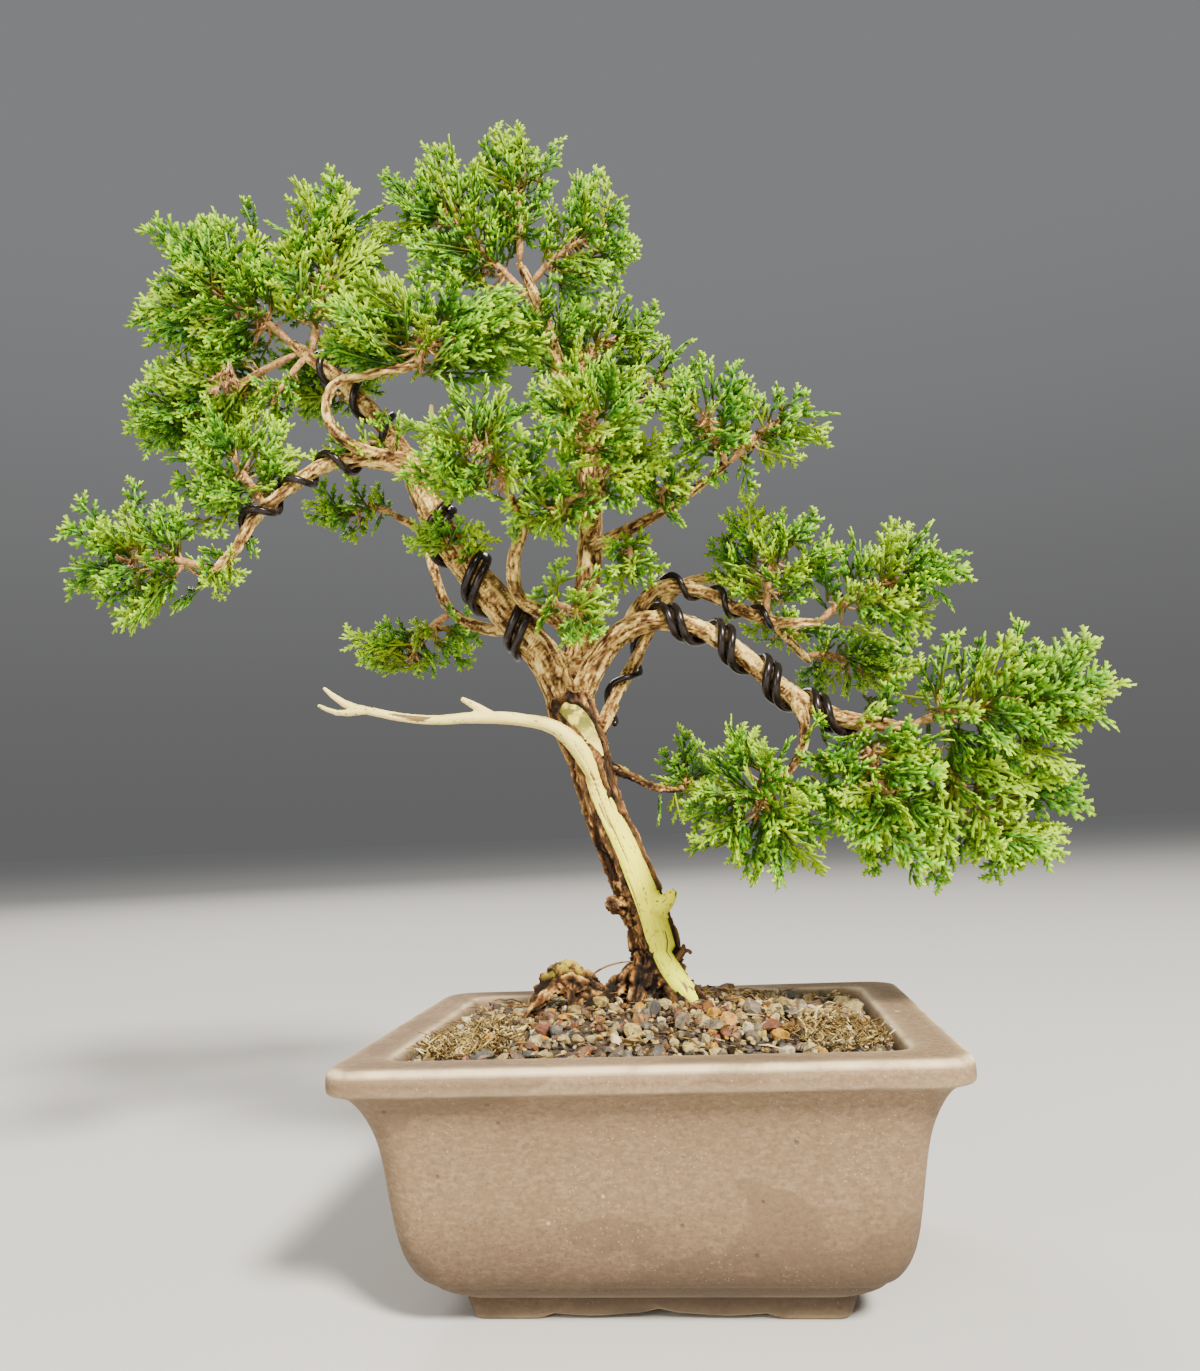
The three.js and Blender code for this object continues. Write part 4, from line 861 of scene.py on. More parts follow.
# Dry moss: short curly stems that stand close together in patches.
def add_dry_moss(bm):
    for order, (middle_x, middle_y, half_x, half_y, count) in enumerate(MOSS_PATCHES):
        for number in range(count):
            key = number * 23 + order * 7001 + 11
            turn, reach = number * GOLDEN_ANGLE, math.sqrt((number + 0.5) / count)
            x = max(-MOSS_HALF[0], min(MOSS_HALF[0], middle_x + half_x * reach * math.cos(turn)))
            y = max(-MOSS_HALF[1], min(MOSS_HALF[1], middle_y + half_y * reach * math.sin(turn)))
            start = Vector((x, y, soil_height(x, y) + 0.6 + 1.6 * draw(key)))
            length, radius = lerp(1.8, 4.4, draw(key + 1)), lerp(0.17, 0.36, draw(key + 6))
            climb, curl = lerp(-0.2, 1.4, draw(key + 3)), 1.6 * (draw(key + 2) - 0.5)
            tone = 0.48 + 0.49 * draw(key + 5)
            add_stem(bm, start, math.tau * draw(key + 4), climb, length, radius, curl, tone)


def make_litter(materials):
    bm = bmesh.new()
    add_straw(bm)
    add_dry_moss(bm)
    for route, tone in FIBRES.values():
        add_tube(bm, Course(route), 6, 10, kind=tone)
    add_piece("soil_litter", to_mesh(bm, "litter"), materials["litter"])


# A flat sprig of unit length whose scale leaves stand out in turn on either side, so that it is toothed.
def sprig_mesh(teeth):
    bm = bmesh.new()
    steps = len(teeth) - 1
    leaf = bm.verts.layers.float_vector.new("leaf")
    for vert in straight_bar(bm, 4, steps):
        station = round((vert.co.z + 0.5) * steps)
        angle = math.atan2(vert.co.y, vert.co.x)
        across, above = math.cos(angle), math.sin(angle)
        right, left = teeth[station]
        width = right if across > 0 else left
        sweep = SPRIG["sweep"] / steps if width > 0.5 and abs(across) > 0.5 and station < steps else 0
        along = station / steps + sweep
        vert[leaf] = (along, across, width)
        vert.co = (along, across * width, above * (1 if 0 < station < steps else 0.6))
    return to_mesh(bm, "sprig")


# Kind, foot, heading, length and half width of each sprig of a flat spray.
def spray_layout(length, seed):
    yield "stem", 0, 0, 0, length * 0.8, STEM_HALF_WIDTH
    yield "long", length * 0.72, 0, 0, length * 0.3, LEADER_HALF_WIDTH
    side = 1 if draw(seed) > 0.5 else -1
    x = length * 0.12
    number = 0
    while x < length * 0.9:
        number += 1
        key = seed + number * 13
        share = x / length
        reach = (SPRIG["reach"] - 0.24 * share) * max(length, 15) * smooth(-0.12, 0.2, share)
        reach *= lerp(0.8, 1.15, draw(key))
        heading = side * SPRIG["angle"] * lerp(0.85, 1.15, draw(key + 1))
        yield "long", x, 0, heading, reach, lerp(1.3, 1.8, draw(key + 3))
        twiglets = (reach > TWIGLET["once_from"]) + (reach > TWIGLET["twice_from"])
        for order in range(twiglets):
            along = reach * (0.34 + 0.26 * order)
            turn = heading + (1 if order % 2 else -1) * side * TWIGLET["angle"]
            foot_x, foot_y = x + along * math.cos(heading), along * math.sin(heading)
            twiglet = max(TWIGLET["shortest"], reach * (0.5 - 0.12 * order))
            yield "short", foot_x, foot_y, turn, twiglet, TWIGLET["half_width"]
        x += SPRIG["spacing"] * lerp(0.8, 1.2, draw(key + 2))
        side = -side


# A flat spray, lightly arched and waved. Its points keep how near the tips they are and where they lie on it.
def spray_mesh(length, seed, sprigs):
    bm = bmesh.new()
    for kind, x, y, heading, reach, width in spray_layout(length, seed):
        copy = sprigs[kind].copy()
        size = Matrix.Diagonal((reach, width, SPRIG["thick"], 1))
        tip = Matrix.Rotation(SPRIG["tilt"] * (draw(seed + x * 7) - 0.5), 4, "Y")
        roll = Matrix.Rotation(SPRIG["roll"] * (draw(seed + x * 5 + 2) - 0.5), 4, "X")
        copy.transform(Matrix.Translation((x, y, 0)) @ Matrix.Rotation(heading, 4, "Z") @ tip @ roll @ size)
        bm.from_mesh(copy)
        bpy.data.meshes.remove(copy)
    tip_layer = bm.verts.layers.float.new("tip")
    leaf = bm.verts.layers.float_vector["leaf"]
    arch = lerp(0.002, 0.012, draw(seed + 5))
    for vert in bm.verts:
        out = math.hypot(vert.co.x, vert.co.y * 1.3) / length
        # Towards the leaf tips and the tooth tips the tone rises: fresh growth, and partly a painted
        # highlight.
        tooth = smooth(0.5, 1, abs(vert[leaf].y) * vert[leaf].z)
        fresh_and_lit = 0.36 * min(1, vert[leaf].x) + 0.28 * tooth
        vert[tip_layer] = 0.36 * min(1, out) + fresh_and_lit * smooth(0, 0.5, out)
        vert[leaf] = (vert.co.x, vert.co.y, vert.co.z)
        vert.co.z -= arch * (vert.co.x ** 2 + 1.3 * vert.co.y ** 2)
        vert.co.z += 0.9 * noise.noise(Vector((vert.co.x * 0.2, vert.co.y * 0.2, seed)))
    return to_mesh(bm, f"spray{seed}")


def spray_templates():
    sprigs = {kind: sprig_mesh(teeth) for kind, teeth in SPRIG_TEETH.items()}
    templates = {}
    for length in SPRAY_LENGTHS:
        templates[length] = [spray_mesh(length, length * 31 + number * 7, sprigs)
                             for number in range(SPRAYS_PER_LENGTH)]
    return templates


# A spray for the room it has: the longest that fits, or the next one down.
def spray_length(room, chance):
    fitting = [length for length in SPRAY_LENGTHS if length <= room] or [SPRAY_LENGTHS[0]]
    return fitting[-1 - int(chance * 1.99)] if len(fitting) > 1 else fitting[0]


# The surface of an ellipsoid, close enough for a count of sprays.
def ellipsoid_area(size):
    power = 1.6
    a, b, c = [half ** power for half in size]
    return 4 * math.pi * ((a * b + a * c + b * c) / 3) ** (1 / power)


# Where the sprays of a pad sit: tip, direction, roll and the spot of the pad's twig that carries them.
def spray_places(course, centre, size, seed):
    axis = (centre - course.knots[0]).normalized()
    across = UP.cross(axis).normalized()
    above = axis.cross(across)
    count = round(ellipsoid_area(size) * SPRAY_DENSITY) + 3
    for number in range(count):
        key = seed + number * 29
        share = (number + 0.5) / count
        forward = lerp(-0.75, 0.98, share)
        ring = math.sqrt(1 - forward * forward)
        turn = number * GOLDEN_ANGLE + draw(key) * 0.7
        unit = axis * forward + (across * math.cos(turn) + above * math.sin(turn)) * ring
        reach = lerp(0.78, 1.22, math.sqrt(draw(key + 1)))
        tip = centre + Vector(unit[i] * size[i] * reach for i in range(3))
        along = lerp(0.35, 1, smooth(0, 0.9, share))
        base = course.point(along)
        wander = Vector((draw(key + 2) - 0.5, draw(key + 3) - 0.5, draw(key + 4) - 0.3))
        direction = ((tip - base).normalized() + wander * 0.6).normalized()
        upright = math.pi / 2 if draw(key + 10) < UPRIGHT_SHARE else 0
        roll = upright + (draw(key + 5) - 0.5) * 1.8
        yield tip, direction, roll, base, key


# Turns a spray's own axes to its direction, with its face up as far as the roll lets it.
def spray_turn(direction, roll):
    side = UP.cross(direction)
    side = side.normalized() if side.length > 0.2 else Vector((1, 0, 0)).cross(direction).normalized()
    spin = Matrix.Rotation(roll, 3, direction)
    return Matrix((direction, spin @ side, spin @ direction.cross(side))).transposed().to_4x4()


def twig_course(points, radii, stations=200):
    return Course([(*point, radius) for point, radius in zip(points, radii)], stations)


# The sprays of one pad. What holds a spray that starts clear of the pad's own twig goes to the twigs.
def pad_sprays(course, middle, size, seed, templates, twigs):
    bm = bmesh.new()
    for tip, direction, roll, base, key in spray_places(course, middle, size, seed):
        length = spray_length((tip - base).length * 1.05, draw(key + 6))
        foot = tip - direction * length
        growth = Matrix.Scale(lerp(0.9, 1.1, draw(key + 8)), 4)
        place = Matrix.Translation(foot) @ spray_turn(direction, roll) @ growth
        add_copy(bm, templates[length][int(draw(key + 7) * SPRAYS_PER_LENGTH)], place, draw(key + 9))
        if (foot - base).length > 2:
            half = base.lerp(foot, 0.5) + Vector((0, 0, -0.8))
            add_tube(twigs, twig_course((base, half, foot), SPRAY_TWIG_RADII, 12), 4, 2)
    return bm


def make_pads(materials, templates):
    twigs = bmesh.new()
    for order, (name, (root, middle, size)) in enumerate(PADS.items()):
        root, middle = Vector(root), Vector(middle)
        bend = root.lerp(middle, 0.5) + Vector((draw(order) - 0.5, draw(order + 3) - 0.5, 0.6)) * 2.5
        course = twig_course((root, bend, middle), PAD_TWIG_RADII)
        add_tube(twigs, course, 6, 6)
        pad = pad_sprays(course, middle, size, (order + 1) * 1009, templates, twigs)
        add_piece(f"sprays_{name}", to_mesh(pad, name), materials["foliage"], [f"foliage_{name}"])
    add_piece("inner_twigs", to_mesh(twigs, "twigs"), materials["twig"])


def make_loose_sprays(materials, templates):
    loose = bmesh.new()
    for number, (start, heading, length) in enumerate(LOOSE_SPRAYS):
        roll = math.pi / 2 + 1.6 * (draw(number * 7) - 0.5)
        place = Matrix.Translation(start) @ spray_turn(Vector(heading).normalized(), roll)
        add_copy(loose, templates[length][number % SPRAYS_PER_LENGTH], place, draw(number))
    add_piece("loose_sprays", to_mesh(loose, "loose"), materials["foliage"])


def make_dry_spray(materials, templates):
    dry = bmesh.new()
    for number, (start, heading) in enumerate(DRY_SPRAYS):
        place = Matrix.Translation(start) @ spray_turn(Vector(heading).normalized(), number * 1.1)
        add_copy(dry, templates[SPRAY_LENGTHS[0]][number % SPRAYS_PER_LENGTH], place, 0)
    add_piece("dry_spray", to_mesh(dry, "dry"), materials["dry"])


def make_foliage(materials):
    templates = spray_templates()
    make_pads(materials, templates)
    make_loose_sprays(materials, templates)
    make_dry_spray(materials, templates)


def make_wires(materials):
    for name, (limb, begin, end, turns, start, radius, strands) in WIRES.items():
        limb_course = Course(LIMBS[limb])
        apart = (2 * radius + STRAND_SLACK) / limb_course.length
        for strand in range(strands):
            steps = round(turns * WIRE_KNOTS_PER_TURN)
            knots = []
            for step in range(steps + 1):
                along = lerp(begin, end, step / steps) + strand * apart
                angle = math.tau * (start + turns * step / steps)
                reach = limb_course.radius(along) + radius + WIRE_GAP
                knots.append((*limb_course.around(along, angle, reach), radius))
            bm = bmesh.new()
            add_tube(bm, Course(knots), WIRE_SIDES, round(turns * WIRE_STEPS_PER_TURN), blunt=0.8)
            node = name + ("_" + "ab"[strand] if strands > 1 else "")
            add_piece(node + "_wound", to_mesh(bm, node), materials["wire"], [node])


class Graph:
    """Adds nodes to a material or a node group and joins them."""

    def __init__(self, tree):
        self.tree = tree

    def add(self, kind, sockets=None, **settings):
        node = self.tree.nodes.new(kind)
        for key, value in settings.items():
            setattr(node, key, value)
        for key, value in (sockets or {}).items():
            if isinstance(value, bpy.types.NodeSocket):
                self.tree.links.new(value, node.inputs[key])
            else:
                node.inputs[key].default_value = value
        return node

    def mix(self, factor, first, second, blend="MIX"):
        node = self.add("ShaderNodeMix", data_type="RGBA", blend_type=blend)
        for index, value in ((0, factor), (6, first), (7, second)):
            if isinstance(value, bpy.types.NodeSocket):
                self.tree.links.new(value, node.inputs[index])
            else:
                node.inputs[index].default_value = value
        return node.outputs[2]

    # Lays a colour over the body where a mask says so, by no more than a share.
    def lay(self, body, mask, share, color):
        return self.mix(self.math("MULTIPLY", mask, share), body, color)

    def math(self, operation, first, second=0.0, third=0.0):
        return self.add("ShaderNodeMath", {0: first, 1: second, 2: third}, operation=operation).outputs[0]

    def stretch(self, vector, factors):
        return self.add("ShaderNodeVectorMath", {0: vector, 1: factors}, operation="MULTIPLY").outputs[0]

    def cells(self, vector, scale):
        return self.add("ShaderNodeTexVoronoi", {"Vector": vector, "Scale": scale}).outputs["Distance"]

    def noise(self, vector, scale, detail=3.0, rough=0.55):
        sockets = {"Vector": vector, "Scale": scale, "Detail": detail, "Roughness": rough}
        return self.add("ShaderNodeTexNoise", sockets).outputs["Fac"]

    def spread(self, value, low, high):
        node = self.add("ShaderNodeMapRange", {"Value": value, "From Min": low, "From Max": high})
        node.interpolation_type = "SMOOTHSTEP"
        return node.outputs["Result"]

    def ramp(self, value, stops, blend="LINEAR"):
        node = self.add("ShaderNodeValToRGB", {"Fac": value})
        ramp = node.color_ramp
        ramp.interpolation = blend
        while len(ramp.elements) < len(stops):
            ramp.elements.new(0.5)
        for element, (place, color) in zip(ramp.elements, stops):
            element.position = place
            element.color = color
        return node.outputs["Color"]

    def effect(self, name, output, sockets):
        return self.add("ShaderNodeGroup", sockets, node_tree=bpy.data.node_groups[name]).outputs[output]

    def fibres(self, grain, squeeze, scale, detail, rough):
        sockets = {"Grain": grain, "Squeeze": squeeze, "Scale": scale, "Detail": detail, "Roughness": rough}
        return self.effect("wood_fibres", "Fibres", sockets)

    def moss_growth(self, place, cover, scale, bare, full):
        sockets = {"Place": place, "Cover": cover, "Scale": scale, "Bare": bare, "Full": full}
        return self.effect("moss_growth", "Growth", sockets)

    def attribute(self, name, output="Fac"):
        return self.add("ShaderNodeAttribute", attribute_name=name).outputs[output]

    def bump(self, height, strength, distance):
        sockets = {"Height": height, "Strength": strength, "Distance": distance}
        return self.add("ShaderNodeBump", sockets).outputs["Normal"]


# Starts a node group with named sockets: its graph and its inputs, by name.
def effect_group(name, inputs, output):
    tree = bpy.data.node_groups.new(name, "ShaderNodeTree")
    for socket, kind in inputs.items():
        tree.interface.new_socket(socket, in_out="INPUT", socket_type=kind)
    tree.interface.new_socket(output, in_out="OUTPUT", socket_type="NodeSocketFloat")
    graph = Graph(tree)
    return graph, graph.add("NodeGroupInput").outputs


# Fibres drawn out along the grain of bark, twigs and bare wood.
def make_wood_fibres():
    sockets = {"Grain": "NodeSocketVector", "Squeeze": "NodeSocketVector", "Scale": "NodeSocketFloat",
               "Detail": "NodeSocketFloat", "Roughness": "NodeSocketFloat"}
    graph, given = effect_group("wood_fibres", sockets, "Fibres")
    along = graph.stretch(given["Grain"], given["Squeeze"])
    fibres = graph.noise(along, given["Scale"], given["Detail"], given["Roughness"])
    graph.add("NodeGroupOutput", {"Fibres": fibres})


# Moss that takes hold in patches where its cover allows it.
def make_moss_growth():
    sockets = {"Place": "NodeSocketVector", "Cover": "NodeSocketFloat", "Scale": "NodeSocketFloat",
               "Bare": "NodeSocketFloat", "Full": "NodeSocketFloat"}
    graph, given = effect_group("moss_growth", sockets, "Growth")
    patches = graph.noise(given["Place"], given["Scale"])
    taken = graph.spread(patches, given["Bare"], given["Full"])
    graph.add("NodeGroupOutput", {"Growth": graph.math("MULTIPLY", given["Cover"], taken)})


def rgb(red, green, blue):
    return (red, green, blue, 1)


def material_graph(name, color):
    material = bpy.data.materials.new(name)
    material.use_nodes = True
    material.diffuse_color = color
    graph = Graph(material.node_tree)
    shader = material.node_tree.nodes["Principled BSDF"]
    place = graph.add("ShaderNodeTexCoord").outputs["Object"]

    def finish(**sockets):
        for key, value in sockets.items():
            socket = shader.inputs[key.replace("_", " ")]
            if isinstance(value, bpy.types.NodeSocket):
                material.node_tree.links.new(value, socket)
            else:
                socket.default_value = value
        return material

    return graph, place, finish


def clay_material():
    graph, place, finish = material_graph("unglazed_clay", rgb(0.25, 0.18, 0.12))
    cloud = graph.noise(place, 22.0, 3.0)
    fine = graph.noise(place, 900.0, 2.0, 0.7)
    grain = graph.noise(graph.stretch(place, (1.0, 1.0, 2.2)), 420.0, 3.0, 0.7)
    sparse = graph.spread(graph.noise(place, 40.0, 2.0), 0.5, 0.56)
    specks = graph.math("MULTIPLY", graph.spread(graph.cells(place, 700.0), 0.2, 0.08), sparse)
    pit = graph.spread(graph.cells(place, 110.0), 0.085, 0.05)
    crumb = graph.math("MULTIPLY", graph.spread(graph.cells(place, 85.0), 0.08, 0.045), sparse)
    smear = graph.spread(graph.noise(graph.stretch(place, (6.0, 6.0, 26.0)), 1.0, 4.0), 0.56, 0.7)
    stain = graph.spread(graph.noise(graph.stretch(place, (16.0, 16.0, 30.0)), 1.0, 3.0), 0.55, 0.565)
    body = graph.mix(cloud, rgb(0.17, 0.106, 0.054), rgb(0.235, 0.152, 0.082))
    body = graph.lay(body, graph.spread(grain, 0.4, 0.7), 0.55, rgb(0.33, 0.23, 0.135))
    body = graph.lay(body, graph.spread(fine, 0.55, 0.3), 0.45, rgb(0.1, 0.062, 0.032))
    body = graph.lay(body, smear, 0.3, rgb(0.34, 0.245, 0.15))
    body = graph.lay(body, stain, 0.42, rgb(0.12, 0.076, 0.04))
    body = graph.lay(body, specks, 0.5, rgb(0.55, 0.43, 0.29))
    body = graph.lay(body, pit, 0.6, rgb(0.06, 0.04, 0.025))
    body = graph.lay(body, crumb, 0.8, rgb(0.66, 0.52, 0.33))
    # Rubbed edges are lighter: real wear, and on the rim's top edge also a painted highlight.
    rub = graph.spread(graph.noise(place, 90.0, 4.0), 0.2, 0.6)
    worn_and_lit = graph.math("MULTIPLY", graph.attribute("wear_and_highlight"), rub)
    body = graph.lay(body, worn_and_lit, 0.95, rgb(0.85, 0.68, 0.42))
    # Painted shade: the clay is multiplied darker towards the bottom and over the foot, below an uneven line
    # some 35 to 50 mm up.
    height = graph.add("ShaderNodeSeparateXYZ", {0: place}).outputs["Z"]
    painted_shade_top = graph.math("MULTIPLY_ADD", cloud, -0.016, 0.05)
    body = graph.mix(graph.spread(height, painted_shade_top, -0.002), body, rgb(0.34, 0.31, 0.28), "MULTIPLY")
    relief = graph.math("SUBTRACT", graph.math("ADD", fine, crumb), graph.math("MULTIPLY", pit, 2.0))
    return finish(Base_Color=body, Roughness=0.78, Normal=graph.bump(relief, 0.35, 0.0004))


def bark_material():
    graph, place, finish = material_graph("bark", rgb(0.25, 0.13, 0.07))
    grain = graph.attribute("grain", "Vector")
    tone = graph.attribute("tone")
    fibre = graph.fibres(grain, (1.0, 1.0, 0.14), 2.2, 4.0, 0.65)
    mottle = graph.noise(place, 240.0, 3.0)
    patch = graph.noise(place, 70.0, 2.0)
    thin = graph.spread(tone, 0.995, 1.0)
    level = graph.math("SUBTRACT", tone, thin)
    level = graph.math("ADD", level, graph.math("MULTIPLY_ADD", fibre, 0.5, -0.25))
    old = graph.ramp(level, [(0.14, rgb(0.01, 0.005, 0.002)), (0.36, rgb(0.06, 0.029, 0.011)),
                             (0.58, rgb(0.17, 0.078, 0.023)), (0.78, rgb(0.38, 0.2, 0.055)),
                             (0.95, rgb(0.72, 0.48, 0.16))])
    young = graph.ramp(level, [(0.12, rgb(0.045, 0.016, 0.005)), (0.34, rgb(0.22, 0.115, 0.032)),
                               (0.56, rgb(0.5, 0.32, 0.085)), (0.78, rgb(0.8, 0.57, 0.17)),
                               (1, rgb(0.97, 0.81, 0.36))])
    body = graph.mix(thin, old, young)
    body = graph.mix(graph.spread(patch, 0.56, 0.8), body, rgb(0.3, 0.25, 0.16), "SOFT_LIGHT")
    growth = graph.moss_growth(place, graph.attribute("moss"), 240.0, 0.4, 0.56)
    body = graph.mix(growth, body, rgb(0.42, 0.34, 0.03))
    body = graph.mix(graph.spread(mottle, 0.5, 0.3), body, rgb(0.2, 0.12, 0.08), "MULTIPLY")
    height = graph.math("ADD", fibre, graph.math("MULTIPLY", mottle, 0.6))
    return finish(Base_Color=body, Roughness=0.84, Specular_IOR_Level=0.25,
                  Normal=graph.bump(height, 0.8, 0.0008))


def deadwood_material():
    graph, place, finish = material_graph("bare_wood", rgb(0.7, 0.62, 0.38))
    grain = graph.attribute("grain", "Vector")
    tone = graph.attribute("tone")
    streak = graph.fibres(grain, (1.0, 1.0, 0.07), 1.6, 4.0, 0.6)
    fine = graph.fibres(grain, (1.0, 1.0, 0.07), 5.0, 3.0, 0.6)
    specks = graph.cells(graph.stretch(grain, (1.0, 1.0, 0.45)), 0.85)
    broken = graph.spread(graph.noise(place, 150.0, 2.0), 0.42, 0.58)
    speck = graph.math("MULTIPLY", graph.spread(specks, 0.3, 0.16), broken)
    height = graph.add("ShaderNodeSeparateXYZ", {0: place}).outputs["Z"]
    pale = graph.ramp(graph.spread(height, 0.07, 0.17), [
        (0.0, rgb(0.84, 0.9, 0.02)), (0.3, rgb(1, 0.97, 0.03)), (0.6, rgb(1, 0.93, 0.07)),
        (0.85, rgb(1, 0.87, 0.16)), (1, rgb(0.97, 0.82, 0.26))])
    body = graph.lay(pale, graph.spread(streak, 0.55, 0.75), 0.6, rgb(0.52, 0.4, 0.1))
    body = graph.lay(body, graph.spread(fine, 0.6, 0.85), 0.5, rgb(0.8, 0.74, 0.5))
    body = graph.mix(graph.spread(tone, 0.4, 0.12), body, rgb(0.2, 0.13, 0.05))
    body = graph.lay(body, speck, 0.75, rgb(0.17, 0.13, 0.04))
    moss = graph.attribute("moss")
    body = graph.lay(body, moss, 0.7, rgb(0.66, 0.55, 0.04))
    growth = graph.moss_growth(place, moss, 300.0, 0.36, 0.5)
    body = graph.lay(body, growth, 0.9, rgb(0.1, 0.11, 0.012))
    relief = graph.bump(fine, 0.4, 0.0004)
    return finish(Base_Color=body, Roughness=0.68, Specular_IOR_Level=0.3, Normal=relief)


def wire_material():
    graph, place, finish = material_graph("anodised_wire", rgb(0.03, 0.02, 0.018))
    scuff = graph.noise(place, 260.0, 3.0)
    body = graph.mix(graph.spread(scuff, 0.55, 0.75), rgb(0.016, 0.011, 0.01), rgb(0.06, 0.042, 0.036))
    rough = graph.math("MULTIPLY_ADD", scuff, 0.22, 0.14)
    return finish(Base_Color=body, Metallic=0.4, Roughness=rough, Normal=graph.bump(scuff, 0.1, 0.0002))


def foliage_material():
    graph, place, finish = material_graph("scale_leaves", rgb(0.1, 0.3, 0.05))
    tip = graph.attribute("tip")
    tone = graph.attribute("tone")
    patch = graph.noise(place, 45.0, 2.0)
    leaf = graph.attribute("leaf", "Vector")
    scales = graph.noise(leaf, 1.3, 2.0)
    # From the sprays' feet to their tips the colour runs from brown old scales to pale fresh growth; the very
    # dark feet are partly painted shade inside the pads and the near-white tips partly a painted highlight.
    level = graph.math("ADD", tip, graph.math("MULTIPLY_ADD", scales, 0.4, -0.2))
    body = graph.ramp(level, [(0.0, rgb(0.26, 0.14, 0.015)), (0.12, rgb(0.06, 0.085, 0.002)),
                              (0.34, rgb(0.018, 0.085, 0.0004)), (0.56, rgb(0.11, 0.31, 0.0008)),
                              (0.76, rgb(0.44, 0.7, 0.003)), (0.94, rgb(0.9, 0.99, 0.03))])
    warm = graph.spread(graph.math("ADD", tone, patch), 1.0, 1.5)
    body = graph.lay(body, warm, 0.4, rgb(0.5, 0.66, 0.004))
    cool = graph.spread(graph.math("ADD", tone, patch), 0.85, 0.45)
    body = graph.lay(body, cool, 0.4, rgb(0.014, 0.13, 0.001))
    relief = graph.bump(scales, 0.3, 0.0004)
    return finish(Base_Color=body, Roughness=0.5, Specular_IOR_Level=0.3, Normal=relief)


def twig_material():
    graph, _, finish = material_graph("inner_twigs", rgb(0.4, 0.25, 0.1))
    grain = graph.attribute("grain", "Vector")
    scales = graph.fibres(grain, (1.0, 1.0, 1.0), 0.9, 3.0, 0.55)
    body = graph.ramp(scales, [(0.3, rgb(0.16, 0.07, 0.025)), (0.5, rgb(0.42, 0.22, 0.07)),
                               (0.7, rgb(0.62, 0.44, 0.15))])
    return finish(Base_Color=body, Roughness=0.8, Normal=graph.bump(scales, 0.5, 0.0005))


def dry_material():
    graph, place, finish = material_graph("dry_scales", rgb(0.35, 0.18, 0.08))
    crumple = graph.noise(place, 420.0, 3.0)
    body = graph.ramp(crumple, [(0.35, rgb(0.13, 0.05, 0.02)), (0.52, rgb(0.36, 0.17, 0.065)),
                                (0.68, rgb(0.6, 0.4, 0.2))])
    return finish(Base_Color=body, Roughness=0.85, Normal=graph.bump(crumple, 0.5, 0.0005))


def stone_material():
    graph, place, finish = material_graph("grit", rgb(0.4, 0.32, 0.22))
    tone = graph.attribute("tone")
    speck = graph.noise(place, 620.0, 4.0, 0.7)
    band = graph.noise(place, 230.0, 3.0)
    stops = [(0.0, rgb(0.32, 0.23, 0.075)), (0.09, rgb(0.48, 0.36, 0.1)), (0.18, rgb(0.14, 0.07, 0.028)),
             (0.27, rgb(0.05, 0.03, 0.016)), (0.37, rgb(0.42, 0.32, 0.12)), (0.46, rgb(0.55, 0.27, 0.015)),
             (0.53, rgb(0.19, 0.155, 0.11)), (0.63, rgb(0.075, 0.075, 0.068)), (0.71, rgb(0.19, 0.055, 0.02)),
             (0.76, rgb(0.46, 0.36, 0.16)), (0.83, rgb(0.24, 0.1, 0.025)), (0.9, rgb(0.66, 0.57, 0.36)),
             (0.95, rgb(0.025, 0.02, 0.016))]
    body = graph.ramp(tone, stops, "CONSTANT")
    body = graph.mix(graph.spread(speck, 0.32, 0.62), graph.mix(0.75, body, rgb(0.04, 0.028, 0.018)), body)
    body = graph.lay(body, graph.spread(band, 0.55, 0.7), 0.45, rgb(0.48, 0.36, 0.16))
    return finish(Base_Color=body, Roughness=0.6, Normal=graph.bump(speck, 0.6, 0.0006))


def litter_material():
    graph, place, finish = material_graph("dry_moss_and_straw", rgb(0.45, 0.36, 0.16))
    tone = graph.attribute("tone")
    streak = graph.noise(place, 500.0, 2.0)
    body = graph.ramp(tone, [(0.0, rgb(0.22, 0.11, 0.025)), (0.2, rgb(0.07, 0.03, 0.01)),
                             (0.45, rgb(0.42, 0.28, 0.07)), (0.58, rgb(0.07, 0.042, 0.012)),
                             (0.72, rgb(0.22, 0.15, 0.035)), (0.86, rgb(0.5, 0.38, 0.12)),
                             (0.97, rgb(0.75, 0.66, 0.36))])
    body = graph.mix(graph.spread(streak, 0.55, 0.35), body, rgb(0.4, 0.28, 0.16), "MULTIPLY")
    return finish(Base_Color=body, Roughness=0.8, Normal=graph.bump(streak, 0.4, 0.0004))


def soil_material():
    graph, place, finish = material_graph("fine_soil", rgb(0.06, 0.04, 0.03))
    crumbs = graph.noise(place, 500.0, 5.0, 0.7)
    body = graph.mix(graph.spread(crumbs, 0.35, 0.75), rgb(0.02, 0.012, 0.008), rgb(0.13, 0.085, 0.05))
    return finish(Base_Color=body, Roughness=0.95, Normal=graph.bump(crumbs, 0.8, 0.001))


def screen_material():
    graph, place, finish = material_graph("screen_plastic", rgb(0.02, 0.03, 0.04))
    haze = graph.noise(place, 300.0, 3.0)
    body = graph.mix(haze, rgb(0.015, 0.02, 0.026), rgb(0.04, 0.05, 0.06))
    return finish(Base_Color=body, Roughness=0.5, Normal=graph.bump(haze, 0.1, 0.0002))


def floor_material():
    graph, place, finish = material_graph("pale_floor", rgb(0.7, 0.7, 0.68))
    haze = graph.noise(place, 3.0, 3.0)
    body = graph.mix(haze, rgb(0.58, 0.58, 0.575), rgb(0.62, 0.62, 0.615))
    return finish(Base_Color=body, Roughness=0.9)


